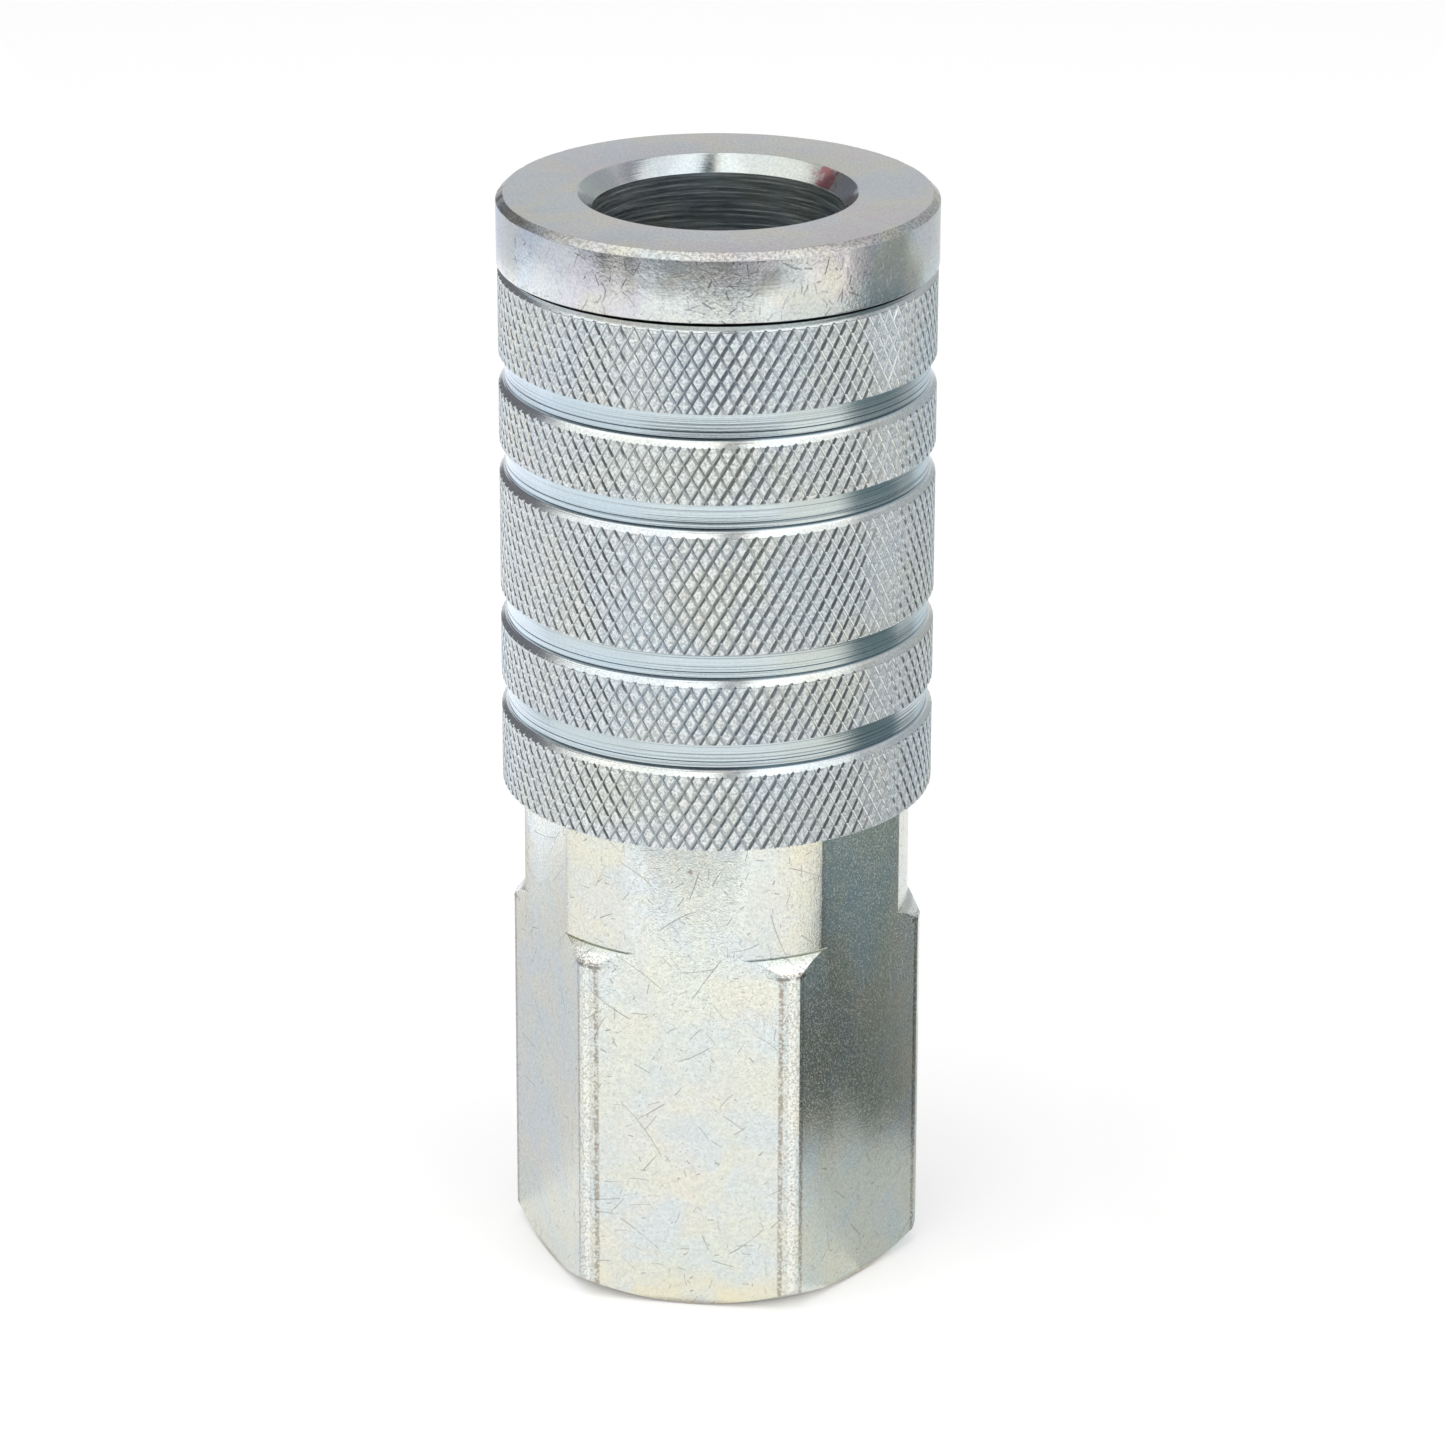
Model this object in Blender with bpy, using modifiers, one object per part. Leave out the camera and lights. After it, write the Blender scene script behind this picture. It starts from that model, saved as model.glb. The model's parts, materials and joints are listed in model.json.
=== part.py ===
"""Quick disconnect coupler, socket half: a sleeve-locked ball coupling with a poppet shut-off valve.

The hex end stands on z = 0 with its female pipe port facing down, and the plug enters from +Z.
Sizes in the constants are millimetres. The scene is in metres, +Z up, with one hex flat facing -Y.
"""

import math

import bmesh
import bpy
from mathutils import Matrix

MM = 0.001
NAME = "quick_disconnect_coupler"

# Driving sizes.
LENGTH = 96.3
RING_RADIUS = 18.75
ACROSS_FLATS = 31.75
BORE_RADIUS = 10.64
SLEEVE_TRAVEL = 8.0
BALL_COUNT = 8
RUNNING_GAP = 0.3

# Flange ring and tube of the front socket.
RING_HEIGHT = 5.95
RING_BEVEL = 0.6
RING_FOOT_BEVEL = 0.2
LEAD_IN_RADIUS = 11.86
LEAD_IN_DEPTH = 1.42
TUBE_RADIUS = 14.2
SPIGOT_RADIUS = 12.3
SPIGOT_END = 40.0
THROAT_RADIUS = 7.6
THROAT_TOP = 61.5
SEAT_TOP = 54.5
SEAT_RADIUS = 10.2
GLAND_LOW = 66.7
GLAND_HIGH = 70.7
GLAND_RADIUS = 13.1

# Locking balls: the ratio is how far a ball moves out for each millimetre of sleeve travel.
BALL_RADIUS = 2.5
BALL_HEIGHT = 77.5
BALL_ORBIT = 11.9
BALL_RATIO = 0.1625
BALL_HOLE_INNER = 2.3
BALL_HOLE_SLOPE = 15.0

# Lock sleeve, front to rear: five knurled bands with four grooves between them.
SLEEVE_RADIUS = 18.62
SLEEVE_FRONT = 90.0
SLEEVE_REAR = 43.9
SLEEVE_BEVEL = 0.4
SLEEVE_FOOT_BEVEL = 0.2
GROOVE_DEPTH = 0.5
GROOVE_WIDTH = 2.95
GROOVE_FOOT_BEVEL = 0.4
GROOVE_TOPS = (82.53, 74.67, 61.48, 53.47)
LIP_RADIUS = 14.45
LIP_REAR = 88.4
LAND_RADIUS = 14.55
SHOULDER_HEIGHT = 71.5
SKIRT_RADIUS = 17.0

# Hex body: the corners are turned down in front, so that the sleeve skirt can pass over them.
BODY_FRONT = 50.0
RELIEF_RADIUS = 16.78
RELIEF_SHOULDER = 32.9
CORNER_RADIUS = 17.95
BODY_FRONT_BEVEL = 0.5
FOOT_RADIUS = 15.7
FOOT_SLOPE = 33.0
PORT_RADIUS = 12.2
PORT_MOUTH_RADIUS = 13.4
PORT_DEPTH = 15.5
WEB_RADIUS = 9.4
GUIDE_SEAT = 20.0
CHAMBER_RADIUS = 10.4
COUNTERBORE_RADIUS = 12.55
COUNTERBORE_FLOOR = 38.1

# Valve, seals and springs.
STEM_RADIUS = 2.5
STEM_END = 24.0
FLANGE_RADIUS = 9.4
FLANGE_LOW = 48.0
FLANGE_HIGH = 51.6
NOSE_RADIUS = 7.0
NOSE_LIP_RADIUS = 7.35
NOSE_LIP_LOW = 54.0
NOSE_LIP_HIGH = 55.1
NOSE_LIP_SLOPE = 0.4
NOSE_BEVEL = 2.0
NOSE_TIP = 60.5
CAP_THICKNESS = 3.4
GUIDE_RADIUS = 10.1
GUIDE_THICKNESS = 2.6
HUB_RADIUS = 4.2
HUB_TOP = 30.5
FLOW_HOLES = 8
FLOW_HOLE_RADIUS = 1.7
FLOW_HOLE_ORBIT = 7.6
WASHER_INNER = 14.5
WASHER_OUTER = 16.7
WASHER_THICKNESS = 1.1
BACKUP_INNER = 10.8
BACKUP_OUTER = 12.85
BACKUP_THICKNESS = 1.0
SLEEVE_WIRE = 1.8
SLEEVE_COIL_RADIUS = 15.6
SLEEVE_TURNS = 6
VALVE_WIRE = 1.1
VALVE_COIL_RADIUS = 5.2
VALVE_TURNS = 7

# O-rings: radius and height of the section's centre, and the section's own radius.
PLUG_ORING = (11.66, 69.35, 1.2)
BODY_ORING = (11.4, 39.05, 0.8)
POPPET_SEAL = (8.1, 52.7, 0.88)

# Facets.
BODY_SEGMENTS = 48
INNER_SEGMENTS = 32
RING_SEGMENTS = 40
SEAL_SIDES = 8
POINTS_PER_TURN = 12
SHARP_ANGLE = math.radians(28)


def new_collection(name, hidden=False):
    collection = bpy.data.collections.new(name)
    bpy.context.scene.collection.children.link(collection)
    collection.hide_render = hidden
    return collection


def material(name, color, roughness, metallic):
    made = bpy.data.materials.new(name)
    made.use_nodes = True
    shader = made.node_tree.nodes["Principled BSDF"]
    shader.inputs["Base Color"].default_value = (*color, 1.0)
    shader.inputs["Roughness"].default_value = roughness
    shader.inputs["Metallic"].default_value = metallic
    made.diffuse_color = (*color, 1.0)
    return made


def add_object(name, data, collection, finish=None):
    obj = bpy.data.objects.new(name, data)
    collection.objects.link(obj)
    if finish is not None:
        obj.data.materials.append(finish)
    return obj


def freeze(obj):
    """Applies the modifiers, then marks the sharp edges so that round faces shade smooth."""
    graph = bpy.context.evaluated_depsgraph_get()
    solid = bpy.data.meshes.new_from_object(obj.evaluated_get(graph))
    obj.modifiers.clear()
    obj.data = solid
    solid.shade_smooth()
    solid.set_sharp_from_angle(angle=SHARP_ANGLE)


def turned(name, profile, collection, finish=None, segments=BODY_SEGMENTS):
    """A profile of (radius, height) turned about Z. It runs down the outer side of the piece.

    A profile that starts and ends on the axis makes a solid, and any other one closes into a ring.
    """
    mesh = bpy.data.meshes.new(name)
    count = len(profile)
    edges = [(i, i + 1) for i in range(count - 1)]
    if profile[0][0] > 0:
        edges.append((count - 1, 0))
    mesh.from_pydata([(r * MM, 0, z * MM) for r, z in profile], edges, [])
    obj = add_object(name, mesh, collection, finish)
    screw = obj.modifiers.new("turn", "SCREW")
    screw.steps = segments
    screw.render_steps = segments
    screw.use_merge_vertices = True
    screw.merge_threshold = 0.00001
    return obj


def cut(obj, cutter, operation="DIFFERENCE"):
    boolean = obj.modifiers.new(cutter.name, "BOOLEAN")
    boolean.operation = operation
    boolean.object = cutter
    boolean.solver = "EXACT"


def make_cutter(name, mesh, cutters):
    obj = add_object(name, mesh, cutters)
    obj.hide_render = True
    obj.display_type = "WIRE"
    return obj


def cone_mesh(name, low_radius, high_radius, depth, segments, place=None):
    """A closed cone or prism along its own Z, with place applied to its points."""
    shape = bmesh.new()
    bmesh.ops.create_cone(
        shape,
        cap_ends=True,
        segments=segments,
        radius1=low_radius * MM,
        radius2=high_radius * MM,
        depth=depth * MM,
        matrix=place or Matrix.Identity(4),
    )
    mesh = bpy.data.meshes.new(name)
    shape.to_mesh(mesh)
    shape.free()
    return mesh


def round_seal(name, size, collection, finish):
    """An O-ring: a circle of the section's radius turned about Z, clockwise from its top."""
    radius, height, section = size
    profile = []
    for i in range(SEAL_SIDES):
        angle = math.pi / 2 - 2 * math.pi * i / SEAL_SIDES
        profile.append((radius + section * math.cos(angle), height + section * math.sin(angle)))
    freeze(turned(name, profile, collection, finish, INNER_SEGMENTS))


def coil_spring(name, radius, wire, low, high, turns, collection, finish):
    """A compression spring with one closed turn at each end, filling low to high."""
    closed_pitch = 1.1 * wire
    open_pitch = (high - low - wire - 2 * closed_pitch) / (turns - 2)
    curve = bpy.data.curves.new(name, "CURVE")
    curve.dimensions = "3D"
    curve.bevel_depth = wire / 2 * MM
    curve.bevel_resolution = 2
    curve.use_fill_caps = True
    spline = curve.splines.new("POLY")
    steps = turns * POINTS_PER_TURN
    spline.points.add(steps)
    for i in range(steps + 1):
        turn = i / POINTS_PER_TURN
        open_turns = min(max(turn - 1, 0), turns - 2)
        rise = (turn - open_turns) * closed_pitch + open_turns * open_pitch
        angle = 2 * math.pi * turn
        point = (radius * math.cos(angle), radius * math.sin(angle), low + wire / 2 + rise)
        spline.points[i].co = (*(MM * value for value in point), 1)
    spline.use_smooth = True
    add_object(name, curve, collection, finish)


def front_socket(collection, cutters, finish):
    """The flange ring, the tube that holds the balls and the plug seal, and the valve seat."""
    ring_foot = LENGTH - RING_HEIGHT
    seat_low = SEAT_TOP - (SEAT_RADIUS - THROAT_RADIUS)
    profile = [
        (RING_RADIUS - RING_BEVEL, LENGTH),
        (RING_RADIUS, LENGTH - RING_BEVEL),
        (RING_RADIUS, ring_foot + RING_FOOT_BEVEL),
        (RING_RADIUS - RING_FOOT_BEVEL, ring_foot),
        (TUBE_RADIUS, ring_foot),
        (TUBE_RADIUS, BODY_FRONT + RUNNING_GAP),
        (SPIGOT_RADIUS, BODY_FRONT + RUNNING_GAP),
        (SPIGOT_RADIUS, SPIGOT_END),
        (SEAT_RADIUS, SPIGOT_END),
        (SEAT_RADIUS, seat_low),
        (THROAT_RADIUS, SEAT_TOP),
        (THROAT_RADIUS, THROAT_TOP),
        (BORE_RADIUS, THROAT_TOP),
        (BORE_RADIUS, GLAND_LOW),
        (GLAND_RADIUS, GLAND_LOW),
        (GLAND_RADIUS, GLAND_HIGH),
        (BORE_RADIUS, GLAND_HIGH),
        (BORE_RADIUS, LENGTH - LEAD_IN_DEPTH),
        (LEAD_IN_RADIUS, LENGTH),
    ]
    socket = turned("front_socket", profile, collection, finish)
    slope = math.tan(math.radians(BALL_HOLE_SLOPE))
    inner, outer = BORE_RADIUS - 2, TUBE_RADIUS + 2
    low_radius = BALL_HOLE_INNER - 2 * slope
    high_radius = low_radius + (outer - inner) * slope
    for i, angle in enumerate(ball_angles()):
        place = (
            Matrix.Rotation(angle, 4, "Z")
            @ Matrix.Translation(((inner + outer) / 2 * MM, 0, BALL_HEIGHT * MM))
            @ Matrix.Rotation(math.pi / 2, 4, "Y")
        )
        name = f"ball_hole_{i + 1}"
        mesh = cone_mesh(name, low_radius, high_radius, outer - inner, 16, place)
        cut(socket, make_cutter(name, mesh, cutters))
    freeze(socket)


def ball_angles():
    step = 2 * math.pi / BALL_COUNT
    return [step * (i + 0.5) for i in range(BALL_COUNT)]


def lock_balls(collection, finish):
    for i, angle in enumerate(ball_angles()):
        shape = bmesh.new()
        bmesh.ops.create_uvsphere(shape, u_segments=12, v_segments=8, radius=BALL_RADIUS * MM)
        mesh = bpy.data.meshes.new(f"lock_ball_{i + 1}")
        shape.to_mesh(mesh)
        shape.free()
        mesh.shade_smooth()
        ball = add_object(f"lock_ball_{i + 1}", mesh, collection, finish)
        ball.location = (
            BALL_ORBIT * math.cos(angle) * MM,
            BALL_ORBIT * math.sin(angle) * MM,
            BALL_HEIGHT * MM,
        )


def lock_sleeve(collection, finish):
    """Grooved outside; inside, a cone that lets the balls out as the sleeve moves to the rear."""
    profile = [
        (SLEEVE_RADIUS - SLEEVE_BEVEL, SLEEVE_FRONT),
        (SLEEVE_RADIUS, SLEEVE_FRONT - SLEEVE_BEVEL),
    ]
    floor = SLEEVE_RADIUS - GROOVE_DEPTH
    for top in GROOVE_TOPS:
        low = top - GROOVE_WIDTH
        profile += [
            (SLEEVE_RADIUS, top),
            (floor, top),
            (floor, low + GROOVE_FOOT_BEVEL + 0.1),
            (SLEEVE_RADIUS - GROOVE_FOOT_BEVEL, low + GROOVE_FOOT_BEVEL),
            (SLEEVE_RADIUS, low),
        ]
    recess = LAND_RADIUS + BALL_RATIO * SLEEVE_TRAVEL
    profile += [
        (SLEEVE_RADIUS, SLEEVE_REAR + SLEEVE_FOOT_BEVEL),
        (SLEEVE_RADIUS - SLEEVE_FOOT_BEVEL, SLEEVE_REAR),
        (SKIRT_RADIUS, SLEEVE_REAR),
        (SKIRT_RADIUS, SHOULDER_HEIGHT),
        (LAND_RADIUS, SHOULDER_HEIGHT),
        (LAND_RADIUS, BALL_HEIGHT),
        (recess, BALL_HEIGHT + SLEEVE_TRAVEL),
        (recess, LIP_REAR),
        (LIP_RADIUS, LIP_REAR),
        (LIP_RADIUS, SLEEVE_FRONT),
    ]
    freeze(turned("lock_sleeve", profile, collection, finish))


def hex_body(collection, cutters, finish):
    """A turned blank with the port, valve chamber and counterbore, cut to the hexagon."""
    foot_rise = (CORNER_RADIUS - FOOT_RADIUS) * math.tan(math.radians(FOOT_SLOPE))
    mouth_depth = PORT_MOUTH_RADIUS - PORT_RADIUS
    profile = [
        (RELIEF_RADIUS - BODY_FRONT_BEVEL, BODY_FRONT),
        (RELIEF_RADIUS, BODY_FRONT - BODY_FRONT_BEVEL),
        (RELIEF_RADIUS, RELIEF_SHOULDER),
        (CORNER_RADIUS, RELIEF_SHOULDER - (CORNER_RADIUS - RELIEF_RADIUS)),
        (CORNER_RADIUS, foot_rise),
        (FOOT_RADIUS, 0),
        (PORT_MOUTH_RADIUS, 0),
        (PORT_RADIUS, mouth_depth),
        (PORT_RADIUS, PORT_DEPTH),
        (WEB_RADIUS, PORT_DEPTH),
        (WEB_RADIUS, GUIDE_SEAT),
        (CHAMBER_RADIUS, GUIDE_SEAT),
        (CHAMBER_RADIUS, COUNTERBORE_FLOOR),
        (COUNTERBORE_RADIUS, COUNTERBORE_FLOOR),
        (COUNTERBORE_RADIUS, BODY_FRONT),
    ]
    body = turned("hex_body", profile, collection, finish)
    vertex_radius = ACROSS_FLATS / 2 / math.cos(math.pi / 6)
    tall = LENGTH + 20
    upright = Matrix.Translation((0, 0, tall / 4 * MM)) @ Matrix.Rotation(math.pi / 6, 4, "Z")
    mesh = cone_mesh("hexagon", vertex_radius, vertex_radius, tall, 6, upright)
    cut(body, make_cutter("hexagon", mesh, cutters), "INTERSECT")
    freeze(body)


def valve_guide(collection, cutters, finish):
    """A drilled disc with a hub that guides the poppet stem."""
    low = GUIDE_SEAT + RUNNING_GAP
    high = low + GUIDE_THICKNESS
    bore = STEM_RADIUS + RUNNING_GAP
    profile = [
        (HUB_RADIUS, HUB_TOP),
        (HUB_RADIUS, high),
        (GUIDE_RADIUS, high),
        (GUIDE_RADIUS, low),
        (bore, low),
        (bore, HUB_TOP),
    ]
    guide = turned("valve_guide", profile, collection, finish, INNER_SEGMENTS)
    for i in range(FLOW_HOLES):
        angle = 2 * math.pi * i / FLOW_HOLES
        place = Matrix.Rotation(angle, 4, "Z") @ Matrix.Translation(
            (FLOW_HOLE_ORBIT * MM, 0, (low + high) / 2 * MM)
        )
        name = f"flow_hole_{i + 1}"
        mesh = cone_mesh(name, FLOW_HOLE_RADIUS, FLOW_HOLE_RADIUS, 3 * GUIDE_THICKNESS, 12, place)
        cut(guide, make_cutter(name, mesh, cutters))
    freeze(guide)


def valve_poppet(collection, finish):
    spigot_radius = NOSE_RADIUS - NOSE_BEVEL
    spigot_top = NOSE_TIP - CAP_THICKNESS - RUNNING_GAP
    profile = [
        (0, spigot_top),
        (spigot_radius, spigot_top),
        (spigot_radius, FLANGE_HIGH),
        (FLANGE_RADIUS, FLANGE_HIGH),
        (FLANGE_RADIUS, FLANGE_LOW),
        (STEM_RADIUS, FLANGE_LOW),
        (STEM_RADIUS, STEM_END + 0.4),
        (STEM_RADIUS - 0.4, STEM_END),
        (0, STEM_END),
    ]
    freeze(turned("valve_poppet", profile, collection, finish, INNER_SEGMENTS))


def poppet_nose(collection, finish):
    """The cap that clamps the seal on the poppet, and that the plug's own valve pushes on."""
    socket_radius = NOSE_RADIUS - NOSE_BEVEL + RUNNING_GAP
    low = FLANGE_HIGH + RUNNING_GAP
    cap_low = NOSE_TIP - CAP_THICKNESS
    profile = [
        (0, NOSE_TIP),
        (NOSE_RADIUS - NOSE_BEVEL, NOSE_TIP),
        (NOSE_RADIUS, NOSE_TIP - NOSE_BEVEL),
        (NOSE_RADIUS, NOSE_LIP_HIGH + NOSE_LIP_SLOPE),
        (NOSE_LIP_RADIUS, NOSE_LIP_HIGH),
        (NOSE_LIP_RADIUS, NOSE_LIP_LOW),
        (NOSE_RADIUS, NOSE_LIP_LOW),
        (NOSE_RADIUS, low),
        (socket_radius, low),
        (socket_radius, cap_low),
        (0, cap_low),
    ]
    freeze(turned("poppet_nose", profile, collection, finish, INNER_SEGMENTS))


def flat_ring(name, inner, outer, low, high, collection, finish):
    profile = [(outer, high), (outer, low), (inner, low), (inner, high)]
    freeze(turned(name, profile, collection, finish, RING_SEGMENTS))


def build():
    for obj in list(bpy.data.objects):
        bpy.data.objects.remove(obj, do_unlink=True)
    parts = new_collection(NAME)
    cutters = new_collection("cutters", hidden=True)

    zinc_body = material("zinc_plated_body", (0.72, 0.75, 0.73), 0.32, 1.0)
    zinc_ring = material("zinc_plated_ring", (0.66, 0.66, 0.67), 0.28, 1.0)
    zinc_sleeve = material("zinc_plated_sleeve", (0.68, 0.72, 0.73), 0.34, 1.0)
    ball_steel = material("ball_steel", (0.62, 0.62, 0.62), 0.12, 1.0)
    spring_steel = material("spring_steel", (0.42, 0.41, 0.39), 0.3, 1.0)
    machined_steel = material("machined_steel", (0.55, 0.55, 0.54), 0.3, 1.0)
    brass = material("brass", (0.72, 0.55, 0.26), 0.3, 1.0)
    black_rubber = material("black_rubber", (0.02, 0.02, 0.02), 0.55, 0.0)
    white_plastic = material("white_ptfe", (0.85, 0.85, 0.82), 0.5, 0.0)

    hex_body(parts, cutters, zinc_body)
    front_socket(parts, cutters, zinc_ring)
    lock_sleeve(parts, zinc_sleeve)
    lock_balls(parts, ball_steel)

    washer_high = SHOULDER_HEIGHT - RUNNING_GAP
    washer_low = washer_high - WASHER_THICKNESS
    flat_ring(
        "spring_washer",
        WASHER_INNER,
        WASHER_OUTER,
        washer_low,
        washer_high,
        parts,
        machined_steel,
    )
    coil_spring(
        "sleeve_spring",
        SLEEVE_COIL_RADIUS,
        SLEEVE_WIRE,
        BODY_FRONT + RUNNING_GAP,
        washer_low - RUNNING_GAP,
        SLEEVE_TURNS,
        parts,
        spring_steel,
    )

    backup_low = GLAND_LOW + 0.2
    flat_ring(
        "backup_ring",
        BACKUP_INNER,
        BACKUP_OUTER,
        backup_low,
        backup_low + BACKUP_THICKNESS,
        parts,
        white_plastic,
    )
    round_seal("plug_oring", PLUG_ORING, parts, black_rubber)
    round_seal("body_oring", BODY_ORING, parts, black_rubber)

    valve_guide(parts, cutters, brass)
    valve_poppet(parts, machined_steel)
    poppet_nose(parts, machined_steel)
    round_seal("poppet_seal", POPPET_SEAL, parts, black_rubber)
    coil_spring(
        "valve_spring",
        VALVE_COIL_RADIUS,
        VALVE_WIRE,
        GUIDE_SEAT + GUIDE_THICKNESS + 2 * RUNNING_GAP,
        FLANGE_LOW - RUNNING_GAP,
        VALVE_TURNS,
        parts,
        spring_steel,
    )


build()
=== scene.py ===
"""Visual model of the quick disconnect coupler: knurled sleeve, plated hex body, ring, valve and springs.

Lengths in the constants are millimetres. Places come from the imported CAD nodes.
"""

import json
import math
import random

import bmesh
import bpy
import numpy as np
from mathutils import Matrix, Vector


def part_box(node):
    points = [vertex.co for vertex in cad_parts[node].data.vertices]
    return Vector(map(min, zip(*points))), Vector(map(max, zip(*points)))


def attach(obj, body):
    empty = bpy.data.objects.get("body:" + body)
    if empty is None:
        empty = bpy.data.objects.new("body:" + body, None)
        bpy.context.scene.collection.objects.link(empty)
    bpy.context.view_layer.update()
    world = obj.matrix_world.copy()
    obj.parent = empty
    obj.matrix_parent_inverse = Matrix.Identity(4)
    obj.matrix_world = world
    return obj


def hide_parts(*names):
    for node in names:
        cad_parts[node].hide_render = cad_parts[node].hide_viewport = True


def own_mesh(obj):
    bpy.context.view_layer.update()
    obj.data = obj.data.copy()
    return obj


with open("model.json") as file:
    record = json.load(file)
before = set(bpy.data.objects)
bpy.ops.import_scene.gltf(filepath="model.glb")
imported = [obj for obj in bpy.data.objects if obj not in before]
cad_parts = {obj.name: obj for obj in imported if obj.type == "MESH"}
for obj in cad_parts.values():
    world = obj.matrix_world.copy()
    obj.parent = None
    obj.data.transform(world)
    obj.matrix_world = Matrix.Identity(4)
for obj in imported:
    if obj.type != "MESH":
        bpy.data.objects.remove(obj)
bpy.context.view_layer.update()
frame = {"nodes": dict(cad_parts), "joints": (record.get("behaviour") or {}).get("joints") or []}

MM = 0.001
SHARP_ANGLE = math.radians(28)
ROUND_STEPS = 240
RING_STEPS = 320
HEX_STEPS = 288
SMALL_STEPS = 96


def low(node):
    """Lowest corner of a CAD node, in millimetres."""
    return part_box(node)[0] / MM


def high(node):
    """Highest corner of a CAD node, in millimetres."""
    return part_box(node)[1] / MM


def centre_height(node):
    return (low(node).z + high(node).z) / 2


def travel_of(joint):
    """How far a sliding joint goes, in millimetres."""
    return next(j for j in frame["joints"] if j["name"] == joint)["range_m"][1] / MM


# ---------------------------------------------------------------- mesh helpers


def add_object(name, mesh):
    obj = bpy.data.objects.new(name, mesh)
    bpy.context.scene.collection.objects.link(obj)
    return obj


def mesh_from(name, points, faces):
    """A mesh from points in millimetres."""
    mesh = bpy.data.meshes.new(name)
    mesh.from_pydata((np.asarray(points) * MM).tolist(), [], faces)
    return mesh


def freeze(obj, angle=SHARP_ANGLE):
    """Applies the modifiers, then marks the sharp edges so that round faces shade smooth."""
    bpy.context.view_layer.update()
    graph = bpy.context.evaluated_depsgraph_get()
    solid = bpy.data.meshes.new_from_object(obj.evaluated_get(graph))
    obj.modifiers.clear()
    obj.data = solid
    solid.shade_smooth()
    solid.set_sharp_from_angle(angle=angle)
    return obj


def rounded(corners, steps=3):
    """Profile points from corners (radius, height) or (radius, height, fillet). A fillet becomes an arc."""
    count = len(corners)
    points = []
    for i, corner in enumerate(corners):
        here = Vector(corner[:2])
        if len(corner) < 3:
            points.append(tuple(here))
            continue
        before = (Vector(corners[i - 1][:2]) - here).normalized()
        after = (Vector(corners[(i + 1) % count][:2]) - here).normalized()
        half = before.angle(after) / 2
        reach = corner[2] / math.tan(half)
        centre = here + (before + after).normalized() * (corner[2] / math.sin(half))
        start = here + before * reach - centre
        turn = start.angle_signed(here + after * reach - centre)
        for k in range(steps + 1):
            points.append(tuple(centre + rotated(start, turn * k / steps)))
    return points


def rotated(vector, angle):
    """The vector turned clockwise, which is the way that angle_signed counts."""
    return Matrix.Rotation(-angle, 2) @ vector


def turned(name, corners, steps=ROUND_STEPS, arc_steps=3):
    """A profile turned about Z: down the outer side, and closed into a ring unless it starts on the axis."""
    profile = rounded(corners, arc_steps)
    count = len(profile)
    edges = [(i, i + 1) for i in range(count - 1)]
    if profile[0][0] > 0:
        edges.append((count - 1, 0))
    mesh = bpy.data.meshes.new(name)
    mesh.from_pydata([(r * MM, 0, z * MM) for r, z in profile], edges, [])
    obj = add_object(name, mesh)
    screw = obj.modifiers.new("turn", "SCREW")
    screw.steps = steps
    screw.render_steps = steps
    screw.use_merge_vertices = True
    screw.merge_threshold = 0.000002
    return freeze(obj)


def combine(obj, other, operation, solver="MANIFOLD"):
    """Applies a Boolean and removes the other object."""
    boolean = obj.modifiers.new("boolean", "BOOLEAN")
    boolean.operation = operation
    boolean.object = other
    boolean.solver = solver
    freeze(obj)
    bpy.data.objects.remove(other)
    return obj


def cone(name, low_radius, high_radius, depth, segments, place):
    """A closed cone or cylinder about its own Z, put in place by a matrix."""
    shape = bmesh.new()
    bmesh.ops.create_cone(
        shape,
        cap_ends=True,
        segments=segments,
        radius1=low_radius * MM,
        radius2=high_radius * MM,
        depth=depth * MM,
        matrix=place,
    )
    mesh = bpy.data.meshes.new(name)
    shape.to_mesh(mesh)
    shape.free()
    return add_object(name, mesh)


def finish_piece(obj, body, slot, material, *nodes):
    """Gives a piece its material and body, and puts it in the place of its CAD nodes. The slot is not used.
    """
    obj.data.materials.clear()
    obj.data.materials.append(material)
    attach(obj, body)
    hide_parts(*nodes)
    return obj


# ---------------------------------------------------------------- lock sleeve

# A knurl cut is half its width and its depth.
KNURL_LINES = 96
KNURL_ANGLE = math.radians(30.5)
KNURL_DEEP_CUT = (0.165, 0.135)
KNURL_LIGHT_CUT = (0.125, 0.09)
KNURL_SPARE = 0.04
KNURL_UNEVEN = 0.12
KNURL_OVERRUN = 3.0
GROOVES_BELOW_FRONT = (7.47, 15.33, 28.52, 36.53)
GROOVE_WIDTH = 2.95
GROOVE_DEPTH = 0.5
FRONT_CHAMFER = 0.44
FOOT_CHAMFER = 0.4
WASHER_GAP = 0.3


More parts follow.
